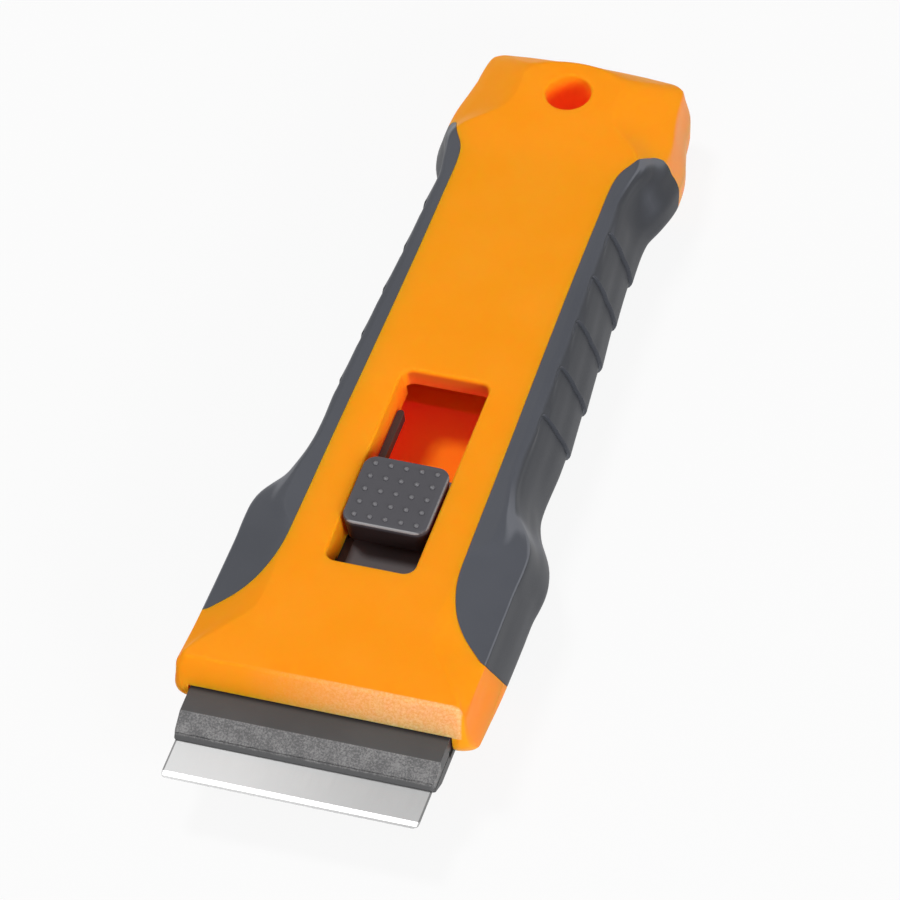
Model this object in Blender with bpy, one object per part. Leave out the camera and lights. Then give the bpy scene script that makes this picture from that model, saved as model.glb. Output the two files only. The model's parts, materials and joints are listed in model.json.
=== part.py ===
"""Hob scraper with a sliding razor blade, modelled at its real size in metres.

The flat back lies on z = 0 and the face is up. The blade points along -Y and the hanging hole is at +Y.
The origin is in the middle of the body's length, on the back.
"""
import math

import bmesh
import bpy
from mathutils import Vector

# Clearances
SEAT_GAP = 0.0002
GRIP_BED_GAP = 0.0004
SLIDE_GAP = 0.0003
SHEET_GAP = 0.0001
OVERRUN = 0.004
FLAT_ANGLE = math.radians(0.01)

# Body: two moulded shells
BODY_LENGTH = 0.1269
BODY_DEPTH = 0.0165
MOUTH_BODY_DEPTH = 0.0113
HEAD_PAST_CLAMP = 0.0008
HANDLE_HALF_WIDTH = 0.0140
KNOB_HALF_WIDTH = 0.0160
SIDE_SWELL = 0.0010
FRONT_CORNER_RADIUS = 0.0011
REAR_CORNER_RADIUS = 0.0034
REAR_DEEP_CORNER_RADIUS = 0.0020
REAR_SAG = 0.0022
SIDE_SLANT = 0.0065
PARTING_DEPTH = 0.0101
SEAM_GAP = 0.0001
RAMP_LENGTH = 0.0290

# Slot and hanging hole in the body
SLOT_FROM_MOUTH = 0.0234
SLOT_LENGTH = 0.0376
SLOT_WIDTH = 0.0137
SLOT_CORNER_RADIUS = 0.0017
SLOT_COLLAR_DEPTH = 0.0032
HANG_HOLE_RADIUS = 0.0035
HANG_HOLE_FROM_REAR = 0.0066

# Room inside the body
ROOF_WALL = 0.0020
FLOOR_WALL = 0.0018
HANDLE_ROOM_FROM_REAR = 0.0210
ROOM_CORNER_RADIUS = 0.0020
RIB_THICKNESS = 0.0012
LIP_THICKNESS = 0.0022
ROOM_SIDE_WALL = 0.0032
RAIL_DEPTH = 0.0058
RACK_DEPTH = 0.0074
RACK_WIDTH = 0.0015
NOTCH_DEPTH = 0.0008
RUNWAY_DEPTH = 0.0123
RUNWAY_PAST_SLOT = 0.0095

# Soft grips
GRIP_FRONT_FROM_MOUTH = 0.0091
GRIP_REAR_FROM_REAR = 0.0157
STRIP_HALF_WIDTH = 0.0121
GRIP_SLANT = 0.0080
GRIP_REAR_SLANT = 0.0022
GRIP_THICKNESS = 0.0030
GRIP_HEAD_THICKNESS = 0.0009
PAD_COUNT = 5
PAD_PITCH = 0.00915
FIRST_PAD_FROM_REAR = 0.0325
PAD_STEP = 0.0006
PAD_STEP_RUN = 0.0003

# Razor blade with its folded back
BLADE_WIDTH = 0.0390
BLADE_EDGE_TO_BACK = 0.0190
BLADE_THICKNESS = 0.00025
BLADE_BEVEL = 0.0012
BLADE_OVERHANG = 0.01504
BLADE_PLANE_DEPTH = 0.0080
SPINE_LENGTH = 0.0050
SPINE_WALL = 0.0004

# Blade clamp
CLAMP_PAST_BLADE = 0.0003
CLAMP_TOP_DEPTH = 0.00545
CLAMP_BOTTOM_DEPTH = 0.0098
CLAMP_LENGTH = 0.0178
CLAMP_OVERHANG = 0.0082
FACET_LENGTH = 0.0036
FACET_DROP = 0.0019
LOWER_FACET_LENGTH = 0.0027
LOWER_SET_BACK = 0.0004
NOSE_HEIGHT = 0.00025
CLAMP_SCREW_FROM_END = 0.0058
CLAMP_SCREW_RADIUS = 0.0010
CLAMP_SCREW_HEAD_RADIUS = 0.0019
CLAMP_SCREW_HEAD_HEIGHT = 0.0009
CLAMP_SCREW_FROM_REAR = 0.0024

# Blade carrier
CARRIER_TOP_DEPTH = 0.0051
TONGUE_WIDTH = 0.0106
TONGUE_REAR_PAST_BUTTON = 0.0022
FLANGE_WIDTH = 0.0160
FLANGE_THICKNESS = 0.0024
CROSSBAR_FROM_END = 0.0028
CROSSBAR_THICKNESS = 0.0013
CROSSBAR_ROOT = 0.0008
SKID_WIDTH = 0.0015
SKID_LENGTH = 0.0040

# Detent leaves beside the tongue
LEAF_WIDTH = 0.0011
LEAF_TOP_DEPTH = 0.0042
LEAF_PAST_BUTTON = 0.0132
LEAF_BEHIND_FRONT = 0.0025
LEAF_TANG_LENGTH = 0.0030
LEAF_TANG_DEPTH = 0.0014

# Thumb button
BUTTON_WIDTH = 0.0132
BUTTON_LENGTH = 0.0130
BUTTON_FROM_SLOT_FRONT = 0.0068
BUTTON_RISE = 0.0007
BUTTON_CORNER_RADIUS = 0.0020
BUTTON_EDGE_ROUND = 0.0004
BUTTON_PLATE = 0.0018
BUTTON_SKIRT_DEPTH = 0.0026
BUTTON_WALL = 0.0011
BUTTON_TRAVEL = 0.0010
STEM_WIDTH = 0.0030
LATCH_LENGTH = 0.0050
LATCH_THICKNESS = 0.0012
LATCH_TOOTH_LENGTH = 0.0022
SPRING_RADIUS = 0.0030
SPRING_WIRE = 0.0005
SPRING_TURNS = 3.5

# How far the carrier slides from the working position
TRAVEL_OUT = 0.0065
TRAVEL_IN = 0.0170

# Screws that close the shells
SHELL_SCREW_RADIUS = 0.0012
SHELL_SCREW_HEAD_RADIUS = 0.0021
SHELL_SCREW_HEAD_HEIGHT = 0.0014
SHELL_SCREW_RECESS = 0.0010
SHELL_SCREW_LENGTH = 0.0100
SHELL_BOSS_RADIUS = 0.0026
PAIR_SCREW_SPACING = 0.0150
PAIR_SCREW_FROM_MOUTH = 0.0768
REAR_SCREW_FROM_REAR = 0.0175

# Width of the side along the body: share of the length, then share of the way
# from the handle's half width to the head's.
HEAD_WIDTH_SHARES = (
    (0.00, 1.00), (0.10, 1.00), (0.184, 1.00), (0.235, 0.96), (0.263, 0.83), (0.303, 0.46), (0.342, 0.27),
    (0.42, 0.20), (0.50, 0.15), (0.58, 0.10), (0.66, 0.03), (0.74, 0.00), (1.00, 0.00),
)
# The same for the swelling behind the grips, from the handle's half width to the knob's.
KNOB_WIDTH_SHARES = (
    (0.00, 0.00), (0.73, 0.00), (0.783, 0.02), (0.815, 0.48), (0.846, 0.93), (0.878, 0.92), (0.925, 0.70),
    (0.972, 0.50), (1.00, 0.42),
)
# Cross-section of the sides: depth below the face as a share of the local depth, then how far
# the side stands out there, in shares of SIDE_SWELL, at places from the head to the rear end.
LEVEL_SHARES = (0.0, 0.03, 0.073, 0.17, 0.41, 0.61, 0.78, 0.91, 1.0)
HEAD_SECTION_SHARES = (-0.3, 0.2, 0.5, 1.0, 1.4, 1.8, 1.9, 1.2, -1.0)
SHOULDER_SECTION_SHARES = (-0.3, 0.2, 0.5, 1.0, 1.5, 2.2, 2.4, 1.8, 0.0)
HANDLE_SECTION_SHARES = (-0.5, 0.0, 0.4, 0.8, 1.6, 2.2, 2.3, 1.4, -0.6)
KNOB_SECTION_SHARES = (-0.6, 0.0, 0.5, 1.1, 2.5, 3.1, 3.1, 2.2, 0.0)
REAR_SECTION_SHARES = (-2.2, -1.5, -0.6, 1.1, 2.6, 3.0, 2.8, 1.8, -0.2)
MOUTH_SECTION_SHARES = (-1.3, -1.1, -0.9, -0.5, 0.1, 0.3, 0.4, 0.2, -0.5)
END_SECTION_SHARES = (-1.2, -0.5, 0.4, 2.1, 2.4, 2.4, 2.2, 1.6, -0.4)
SECTION_PLACE_SHARES = (
    (0.22, HEAD_SECTION_SHARES), (0.29, SHOULDER_SECTION_SHARES), (0.38, HANDLE_SECTION_SHARES),
    (0.77, HANDLE_SECTION_SHARES), (0.86, KNOB_SECTION_SHARES), (0.93, REAR_SECTION_SHARES),
)
# How far the body's depth has grown from the mouth to the full depth, over the ramp.
RAMP_SHARES = ((0.0, 0.0), (0.32, 0.50), (0.6, 0.82), (0.85, 0.97), (1.0, 1.0))
# Edge of the grips on the face: share of the grip's length, then share of the way from the
# strip's half width to the head's; negative values lie inside the strip's nominal edge.
GRIP_EDGE_SHARES = (
    (-0.022, 1.40), (0.0, 1.00), (0.042, 0.58), (0.092, 0.28), (0.141, 0.17), (0.25, 0.125), (0.38, 0.10),
    (0.53, 0.06), (0.72, 0.02), (0.86, 0.00), (0.915, 0.03), (0.95, 0.12), (0.974, 0.25), (0.99, 0.40),
    (1.0, 0.62), (1.006, 1.00), (1.010, 1.40),
)

# Share of the depth over which the rear corners grow sharper, how far ahead of a rear corner
# the side's stations stop, in shares of its radius, and the points of the rear arc.
CORNER_SHARPENED_SHARE = 0.17
CORNER_REACH_SHARE = 1.3
REAR_ARC_SHARES = (0.5, 0.3, 0.1)
# Share of the grip's length over which its ends slant back with depth.
GRIP_SLANT_SHARE = 0.25
# The grips grow thin where the head has grown this much, and reach the skin's thickness there.
THIN_START_SHARE = 0.2
THIN_END_SHARE = 0.7
# Place of the middle screw, from the pair of screws to the rear screw.
MIDDLE_SCREW_SHARE = 0.325

# Size that follows from the slide
HANDLE_ROOM_HALF_WIDTH = FLANGE_WIDTH / 2 + SLIDE_GAP + RACK_WIDTH + 2 * SEAT_GAP

# Sizes that follow from the blade
CLAMP_WIDTH = BLADE_WIDTH + 2 * CLAMP_PAST_BLADE
HEAD_HALF_WIDTH = CLAMP_WIDTH / 2 + HEAD_PAST_CLAMP
CLAMP_SCREW_SPACING = CLAMP_WIDTH - 2 * CLAMP_SCREW_FROM_END
CROSSBAR_WIDTH = CLAMP_WIDTH - 2 * CROSSBAR_FROM_END

# Places that follow from the sizes
MOUTH_Y = -BODY_LENGTH / 2
REAR_Y = BODY_LENGTH / 2
SLOT_FRONT_Y = MOUTH_Y + SLOT_FROM_MOUTH
SLOT_REAR_Y = SLOT_FRONT_Y + SLOT_LENGTH
BUTTON_FRONT_Y = SLOT_FRONT_Y + BUTTON_FROM_SLOT_FRONT
BUTTON_REAR_Y = BUTTON_FRONT_Y + BUTTON_LENGTH
BUTTON_Y = (BUTTON_FRONT_Y + BUTTON_REAR_Y) / 2
HOLE_Y = REAR_Y - HANG_HOLE_FROM_REAR
CLAMP_FRONT_Y = MOUTH_Y - CLAMP_OVERHANG
CLAMP_REAR_Y = CLAMP_FRONT_Y + CLAMP_LENGTH
EDGE_Y = MOUTH_Y - BLADE_OVERHANG
SPINE_REAR_Y = EDGE_Y + BLADE_EDGE_TO_BACK
SPINE_FRONT_Y = SPINE_REAR_Y - SPINE_LENGTH
PARTING_Z = BODY_DEPTH - PARTING_DEPTH
BLADE_Z = BODY_DEPTH - BLADE_PLANE_DEPTH
RAIL_FRONT_Y = CLAMP_REAR_Y + CROSSBAR_ROOT + TRAVEL_IN + 2 * SLIDE_GAP
BUTTON_WALL_DEPTH = CARRIER_TOP_DEPTH - BUTTON_TRAVEL - SLIDE_GAP


def depth_z(depth):
    """Height of a plane that lies this deep below the face."""
    return BODY_DEPTH - depth


def clear_scene():
    for obj in list(bpy.data.objects):
        bpy.data.objects.remove(obj, do_unlink=True)


def between(table, place):
    """Smooth value at a place in a table of (place, value) rows: a cubic through the rows."""
    if place <= table[0][0]:
        return table[0][1]
    if place >= table[-1][0]:
        return table[-1][1]
    index = max(i for i in range(len(table) - 1) if table[i][0] <= place)
    (x1, y1), (x2, y2) = table[index], table[index + 1]
    x0, y0 = table[index - 1] if index else (x1, y1)
    x3, y3 = table[index + 2] if index + 2 < len(table) else (x2, y2)
    span = x2 - x1
    slope1 = (y2 - y0) / (x2 - x0) * span
    slope2 = (y3 - y1) / (x3 - x1) * span
    t = (place - x1) / span
    rest = 1 - t
    ends = y1 * (1 + 2 * t) * rest * rest + y2 * (3 - 2 * t) * t * t
    return ends + slope1 * t * rest * rest - slope2 * t * t * rest


def subdivided(values, parts):
    """The values with evenly spaced ones added between neighbours."""
    fine = []
    for first, second in zip(values, values[1:]):
        fine += [first + (second - first) * step / parts for step in range(parts)]
    return fine + [values[-1]]


def length_share(y):
    return (y - MOUTH_Y) / BODY_LENGTH


def side_half_width(y, level_share=0.0):
    """Half width of the body's reference outline; its swellings lie further back with depth."""
    share = length_share(y - SIDE_SLANT * level_share)
    head = (HEAD_HALF_WIDTH - HANDLE_HALF_WIDTH) * between(HEAD_WIDTH_SHARES, share)
    knob = (KNOB_HALF_WIDTH - HANDLE_HALF_WIDTH) * between(KNOB_WIDTH_SHARES, share)
    return HANDLE_HALF_WIDTH + head + knob


def body_depth_at(y):
    """Depth of the body: full over the flat back, less on the ramp up to the mouth."""
    grown = between(RAMP_SHARES, (y - MOUTH_Y) / RAMP_LENGTH)
    return MOUTH_BODY_DEPTH + (BODY_DEPTH - MOUTH_BODY_DEPTH) * grown


def section_share(level, share):
    """How far the side stands out at a level, blended along the body."""
    table = [(place, shares[level]) for place, shares in SECTION_PLACE_SHARES]
    return between(table, share)


def fillet(corner, before, after, radius, steps):
    """Points of an arc that rounds the corner between two directions."""
    corner = Vector(corner)
    to_before = (Vector(before) - corner).normalized()
    to_after = (Vector(after) - corner).normalized()
    half_angle = to_before.angle(to_after) / 2
    reach = radius / math.tan(half_angle)
    start = corner + to_before * reach
    end = corner + to_after * reach
    centre = corner + (to_before + to_after).normalized() * (radius / math.sin(half_angle))
    start_arm = start - centre
    turn = start_arm.angle_signed(end - centre)
    points = []
    for step in range(steps + 1):
        angle = -turn * step / steps
        arm = Vector((start_arm.x * math.cos(angle) - start_arm.y * math.sin(angle),
                      start_arm.x * math.sin(angle) + start_arm.y * math.cos(angle)))
        points.append(centre + arm)
    return points


def half_outline(side_stations, level_share):
    """Right half of the body's reference outline at a level, from the mouth to the rear end."""
    front_corner = Vector((side_half_width(MOUTH_Y, level_share), MOUTH_Y))
    along_side = front_corner + Vector((0, BODY_LENGTH))
    points = fillet(front_corner, (0, MOUTH_Y), along_side, FRONT_CORNER_RADIUS, 5)
    rear_corner = Vector((side_half_width(REAR_Y - REAR_SAG, level_share), REAR_Y - REAR_SAG))
    sharpened = min(1.0, level_share / CORNER_SHARPENED_SHARE)
    rear_radius = REAR_CORNER_RADIUS + (REAR_DEEP_CORNER_RADIUS - REAR_CORNER_RADIUS) * sharpened
    side_start = MOUTH_Y + 2 * FRONT_CORNER_RADIUS
    side_end = REAR_Y - REAR_SAG - CORNER_REACH_SHARE * REAR_CORNER_RADIUS
    for y in side_stations:
        if side_start < y < side_end:
            points.append(Vector((side_half_width(y, level_share), y)))
    before = Vector((side_half_width(side_end, level_share), side_end))
    arc_half = rear_corner.x
    arc_start = Vector((arc_half / 2, REAR_Y - REAR_SAG / 4))
    points += fillet(rear_corner, before, arc_start, rear_radius, 6)
    for share in REAR_ARC_SHARES:
        points.append(Vector((arc_half * share, REAR_Y - REAR_SAG * share * share)))
    return points


def outward_normals(points):
    """Outward direction at each point of a right half outline."""
    normals = []
    for index, point in enumerate(points):
        before = points[index - 1] if index else Vector((0, point.y))
        after = points[index + 1] if index + 1 < len(points) else Vector((0, REAR_Y))
        run = (after - before).normalized()
        normals.append(Vector((run.y, -run.x)))
    return normals


def body_levels(side_stations, inset=None, pads=False):
    """Rings of the body, face first; each ring holds its right half's points."""
    rings = []
    for level, level_share in enumerate(LEVEL_SHARES):
        outline = half_outline(side_stations, level_share)
        normals = outward_normals(outline)
        ring = []
        for point, normal in zip(outline, normals):
            end_shares = MOUTH_SECTION_SHARES if normal.y < 0 and point.y < 0 else END_SECTION_SHARES
            side = section_share(level, length_share(point.y))
            share = side * normal.x ** 2 + end_shares[level] * normal.y ** 2
            move = share * SIDE_SWELL
            if pads:
                move += pad_height(level, point.y)
            depth = body_depth_at(point.y)
            height = BODY_DEPTH - level_share * depth
            if inset:
                thickness = inset(point.y)
                move -= thickness
                height = min(height, BODY_DEPTH - thickness)
                height = max(height, BODY_DEPTH - depth + thickness)
            ring.append(Vector((point.x + normal.x * move, point.y + normal.y * move, height)))
        rings.append(ring)
    return rings


def pad_height(level, y):
    """Saw-tooth of the finger pads: rises toward the blade, then steps back."""
    if level < 2:
        return 0.0
    first_step_y = REAR_Y - FIRST_PAD_FROM_REAR
    last_step_y = first_step_y - (PAD_COUNT - 1) * PAD_PITCH
    if y > first_step_y + PAD_PITCH or y < last_step_y:
        return 0.0
    place = (first_step_y + PAD_PITCH - y) / PAD_PITCH
    height = (place - math.floor(place - PAD_STEP_RUN / PAD_PITCH / 2) - PAD_STEP_RUN / PAD_PITCH / 2)
    return PAD_STEP * min(height, 1.0)


def new_object(name, mesh, material=None):
    obj = bpy.data.objects.new(name, mesh)
    bpy.context.scene.collection.objects.link(obj)
    if material:
        mesh.materials.append(material)
    return obj


def mesh_from(name, vertices, faces):
    mesh = bpy.data.meshes.new(name)
    mesh.from_pydata([tuple(vertex) for vertex in vertices], [], faces)
    bm = bmesh.new()
    bm.from_mesh(mesh)
    bmesh.ops.remove_doubles(bm, verts=bm.verts, dist=SHEET_GAP / 100)
    bmesh.ops.connect_verts_nonplanar(bm, angle_limit=FLAT_ANGLE, faces=bm.faces)
    bmesh.ops.recalc_face_normals(bm, faces=bm.faces)
    bm.to_mesh(mesh)
    bm.free()
    return mesh


def stack_mesh(name, levels):
    """Closed mesh through levels of (left, right) point pairs, capped by strips across."""
    vertices = []
    faces = []
    count = len(levels[0])
    for pairs in levels:
        vertices += [left for left, right in pairs]
        vertices += [right for left, right in pairs]
    stride = 2 * count
    loop = list(range(count, stride)) + list(range(count - 1, -1, -1))
    for level in range(len(levels) - 1):
        for index, here in enumerate(loop):
            there = loop[(index + 1) % stride]
            base = level * stride
            faces.append((base + here, base + there, base + stride + there, base + stride + here))
    for base in (0, (len(levels) - 1) * stride):
        for index in range(count - 1):
            faces.append((base + index, base + index + 1, base + count + index + 1, base + count + index))
    return mesh_from(name, vertices, faces)


def mirrored_pairs(ring):
    return [(Vector((-point.x, point.y, point.z)), point) for point in ring]


def body_mesh(name, side_stations, inset=None, pads=False):
    rings = body_levels(side_stations, inset, pads)
    return stack_mesh(name, [mirrored_pairs(ring) for ring in rings])


def box_mesh(name, x_range, y_range, z_range):
    vertices = [(x, y, z) for x in x_range for y in y_range for z in z_range]
    faces = [(0, 1, 3, 2), (4, 6, 7, 5), (0, 4, 5, 1), (2, 3, 7, 6), (0, 2, 6, 4), (1, 5, 7, 3)]
    return mesh_from(name, vertices, faces)


def prism_mesh(name, outline, z_range):
    """Upright prism over a closed outline."""
    count = len(outline)
    vertices = [(point[0], point[1], z) for z in z_range for point in outline]
    faces = [tuple(range(count)), tuple(range(count, 2 * count))]
    faces += [(i, (i + 1) % count, count + (i + 1) % count, count + i) for i in range(count)]
    return mesh_from(name, vertices, faces)


def bar_mesh(name, profile, half_width):
    """Bar across the body: a closed (y, z) profile run from side to side."""
    count = len(profile)
    vertices = [(x, point[0], point[1]) for x in (-half_width, half_width) for point in profile]
    faces = [tuple(range(count)), tuple(range(count, 2 * count))]
    faces += [(i, (i + 1) % count, count + (i + 1) % count, count + i) for i in range(count)]
    return mesh_from(name, vertices, faces)


def rounded_rectangle(centre_y, width, length, radius, steps=6):
    """Closed outline of a rectangle with round corners, centred on x = 0."""
    points = []
    for corner, (side_x, side_y) in enumerate(((1, -1), (1, 1), (-1, 1), (-1, -1))):
        centre = Vector((side_x * (width / 2 - radius), centre_y + side_y * (length / 2 - radius)))
        for step in range(steps + 1):
            angle = math.radians(-90 + 90 * corner + 90 * step / steps)
            points.append(centre + Vector((math.cos(angle), math.sin(angle))) * radius)
    return points


def turned_mesh(name, profile, centre, segments):
    """Solid turned about an upright axis; the profile's rows are (radius, z) and end on the axis."""
    vertices = []
    for radius, z in profile:
        for step in range(segments if radius > 0 else 1):
            angle = math.tau * (step + 0.5) / segments
            vertices.append((centre[0] + radius * math.cos(angle), centre[1] + radius * math.sin(angle), z))
    faces = []
    start = 0
    for row in range(len(profile) - 1):
        lower = segments if profile[row][0] > 0 else 1
        upper = segments if profile[row + 1][0] > 0 else 1
        above = start + lower
        for step in range(segments):
            after = (step + 1) % segments
            face = [start + step % lower, start + after % lower, above + after % upper, above + step % upper]
            faces.append(tuple(dict.fromkeys(face)))
        start = above
    return mesh_from(name, vertices, faces)


def cutter(name, mesh):
    """A guide that only shapes other pieces."""
    obj = new_object(name, mesh)
    obj.hide_render = True
    obj.display_type = 'WIRE'
    return obj


def shape_with(obj, operation, tool):
    modifier = obj.modifiers.new(operation.lower() + "_" + tool.name, 'BOOLEAN')
    modifier.operation = operation
    modifier.object = tool
    return modifier


def make_material(name, colour, roughness, metallic=0.0):
    material = bpy.data.materials.new(name)
    material.use_nodes = True
    shader = material.node_tree.nodes["Principled BSDF"]
    shader.inputs["Base Color"].default_value = (*colour, 1.0)
    shader.inputs["Roughness"].default_value = roughness
    shader.inputs["Metallic"].default_value = metallic
    return material


def make_materials():
    return {
        "body": make_material("orange_abs", (1.0, 0.32, 0.02), 0.42),
        "grip": make_material("grey_tpr", (0.13, 0.14, 0.16), 0.75),
        "carrier": make_material("dark_nylon", (0.08, 0.06, 0.07), 0.55),
        "button": make_material("grey_nylon", (0.12, 0.11, 0.13), 0.6),
        "clamp": make_material("clamp_grey", (0.10, 0.10, 0.10), 0.5, 0.3),
        "blade": make_material("blade_steel", (0.70, 0.70, 0.70), 0.25, 1.0),
        "spring": make_material("spring_steel", (0.45, 0.45, 0.46), 0.35, 1.0),
        "screw": make_material("zinc_screw", (0.60, 0.60, 0.62), 0.35, 1.0),
    }


def even_stations(step):
    """Stations along the body's side, one step apart."""
    count = math.ceil(BODY_LENGTH / step)
    return [MOUTH_Y + BODY_LENGTH * index / count for index in range(1, count)]


def pad_stations():
    """Stations that catch both sides of every pad's step."""
    first_step_y = REAR_Y - FIRST_PAD_FROM_REAR
    places = even_stations(PAD_PITCH / 2)
    for index in range(-1, PAD_COUNT):
        step_y = first_step_y - index * PAD_PITCH
        places = [y for y in places if abs(y - step_y) > PAD_PITCH / 5]
        places += [step_y + PAD_STEP_RUN, step_y - PAD_STEP_RUN]
    return sorted(places)


def grip_inset(y):
    """Thickness of the grips: a skin at the head, thicker along the handle."""
    head = between(HEAD_WIDTH_SHARES, length_share(y))
    thinned = (head - THIN_START_SHARE) / (THIN_END_SHARE - THIN_START_SHARE)
    return GRIP_THICKNESS + (GRIP_HEAD_THICKNESS - GRIP_THICKNESS) * min(1.0, max(0.0, thinned))


def grip_region_mesh(name, side, gap):
    """Space that a grip may fill: outward of its edge on the face, slanted back at the front."""
    length = BODY_LENGTH - GRIP_REAR_FROM_REAR - GRIP_FRONT_FROM_MOUTH
    outside = HEAD_HALF_WIDTH + 2 * OVERRUN
    top = []
    bottom = []
    for share in subdivided([row[0] for row in GRIP_EDGE_SHARES], 2):
        width_share = between(GRIP_EDGE_SHARES, share)
        y = MOUTH_Y + GRIP_FRONT_FROM_MOUTH + length * share
        x = STRIP_HALF_WIDTH + (HEAD_HALF_WIDTH - STRIP_HALF_WIDTH) * width_share + gap
        end_gap = gap * (1 - 2 * share)
        front = max(0.0, 1 - share / GRIP_SLANT_SHARE)
        rear = max(0.0, 1 - (1 - share) / GRIP_SLANT_SHARE)
        slant = GRIP_SLANT * front + GRIP_REAR_SLANT * rear
        top.append((Vector((side * x, y + end_gap, BODY_DEPTH + OVERRUN)),
                    Vector((side * outside, y + end_gap, BODY_DEPTH + OVERRUN))))
        back_y = y + end_gap + slant
        bottom.append((Vector((side * x, back_y, -OVERRUN)), Vector((side * outside, back_y, -OVERRUN))))
    return stack_mesh(name, [top, bottom])


def grip_pocket(side, name):
    """Recess in both shells that seats a grip."""
    pocket = cutter("pocket_" + name, grip_region_mesh("pocket_" + name, side, 0.0))
    core = cutter("pocket_core_" + name, body_mesh("core_" + name, even_stations(PAD_PITCH / 2), grip_inset))
    shape_with(pocket, 'DIFFERENCE', core)
    return pocket


def make_grip(side, name, material):
    """Soft grip with finger pads, flush with the face and wrapped round the side to the back."""
    mesh = body_mesh(name, pad_stations(), pads=True)
    grip = new_object(name, mesh, material)
    region = cutter("region_" + name, grip_region_mesh("region_" + name, side, SEAT_GAP))
    seat = cutter("seat_" + name, body_mesh("seat_" + name, even_stations(PAD_PITCH / 2),
                                            lambda y: grip_inset(y) - GRIP_BED_GAP))
    shape_with(grip, 'INTERSECT', region)
    shape_with(grip, 'DIFFERENCE', seat)
    return grip


def room_outline(head_half_width, front_y):
    """Right half of the room inside the shells: wide behind the mouth, narrow along the handle."""
    rear_y = REAR_Y - HANDLE_ROOM_FROM_REAR
    narrow = HANDLE_ROOM_HALF_WIDTH
    radius = ROOM_CORNER_RADIUS
    points = fillet((head_half_width, front_y), (0, front_y), (head_half_width, RAIL_FRONT_Y), radius, 3)
    points += [Vector((head_half_width, RAIL_FRONT_Y)), Vector((narrow, RAIL_FRONT_Y + SLIDE_GAP))]
    points += [Vector((narrow, place)) for place in (SLOT_REAR_Y, rear_y - 2 * radius)]
    points += fillet((narrow, rear_y), (narrow, front_y), (0, rear_y), radius, 4)
    return points


def room_mesh(name, outline, top_z):
    top = mirrored_pairs([Vector((p.x, p.y, top_z)) for p in outline])
    bottom = mirrored_pairs([Vector((p.x, p.y, room_floor_z(p.y))) for p in outline])
    return stack_mesh(name, [top, bottom])


def side_pair_boxes(name, inner, outer, y_range, z_range):
    """Two boxes that mirror each other across x = 0."""
    right = cutter(name + "_right", box_mesh(name + "_right", (inner, outer), y_range, z_range))
    left = cutter(name + "_left", box_mesh(name + "_left", (-outer, -inner), y_range, z_range))
    return [right, left]


def screw_places():
    pair_y = MOUTH_Y + PAIR_SCREW_FROM_MOUTH
    rear_y = REAR_Y - REAR_SCREW_FROM_REAR
    return {
        "shell_screw_left": (-PAIR_SCREW_SPACING / 2, pair_y),
        "shell_screw_right": (PAIR_SCREW_SPACING / 2, pair_y),
        "shell_screw_middle": (0.0, pair_y + (rear_y - pair_y) * MIDDLE_SCREW_SHARE),
        "shell_screw_rear": (0.0, rear_y),
    }


def column(name, centre, radius, z_range, segments=16):
    low, high = z_range
    profile = ((0.0, low), (radius, low), (radius, high), (0.0, high))
    return cutter(name, turned_mesh(name, profile, centre, segments))


def upper_room():
    """Hollow of the upper shell, with its rails, racks, collar, bosses and roof ribs left standing."""
    wide = CLAMP_WIDTH / 2 + SLIDE_GAP
    roof_z = depth_z(CARRIER_TOP_DEPTH)
    low_z = PARTING_Z - OVERRUN
    head = cutter("room_head", box_mesh("room_head", (-wide, wide), (MOUTH_Y - OVERRUN, RAIL_FRONT_Y),
                                        (low_z, roof_z)))
    narrow = HANDLE_ROOM_HALF_WIDTH
    handle = cutter("room_handle", box_mesh("room_handle", (-narrow, narrow),
                                            (RAIL_FRONT_Y - OVERRUN, REAR_Y - HANDLE_ROOM_FROM_REAR),
                                            (low_z, depth_z(ROOF_WALL))))
    rail_inner = SLOT_WIDTH / 2
    rack_inner = FLANGE_WIDTH / 2 + SLIDE_GAP
    rack_rear_y = SLOT_REAR_Y
    top_z = BODY_DEPTH
    rail_y = (RAIL_FRONT_Y - 2 * OVERRUN, rack_rear_y)
    ribs = side_pair_boxes("rail", rail_inner, narrow + OVERRUN, rail_y, (depth_z(RAIL_DEPTH), top_z))
    ribs += side_pair_boxes("rack", rack_inner, narrow + OVERRUN, rail_y, (depth_z(RACK_DEPTH), top_z))
    collar_outer_y = SLOT_REAR_Y + RIB_THICKNESS
    ribs.append(cutter("collar", box_mesh("collar", (-narrow - OVERRUN, narrow + OVERRUN),
                                          (RAIL_FRONT_Y - 2 * OVERRUN, collar_outer_y),
                                          (depth_z(SLOT_COLLAR_DEPTH), top_z))))
    for name, place in screw_places().items():
        ribs.append(column("boss_" + name, place, SHELL_BOSS_RADIUS, (low_z - OVERRUN, top_z)))
    for rib in ribs:
        shape_with(handle, 'DIFFERENCE', rib)
    return [head, handle]


def roof_pockets():
    """Hollows in the thick roof of the head, between ribs that run with the slide."""
    wide = CLAMP_WIDTH / 2 - ROOM_SIDE_WALL
    y_range = (MOUTH_Y + 2 * LIP_THICKNESS, SLOT_FRONT_Y - LIP_THICKNESS)
    pitch = (2 * wide + RIB_THICKNESS) / 4
    pockets = []
    for index in range(4):
        left = -wide + index * pitch
        name = "roof_pocket_%d" % (index + 1)
        x_range = (left, left + pitch - RIB_THICKNESS)
        z_range = (depth_z(CARRIER_TOP_DEPTH) - OVERRUN, depth_z(ROOF_WALL))
        pockets.append(cutter(name, box_mesh(name, x_range, y_range, z_range)))
    return pockets


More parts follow.
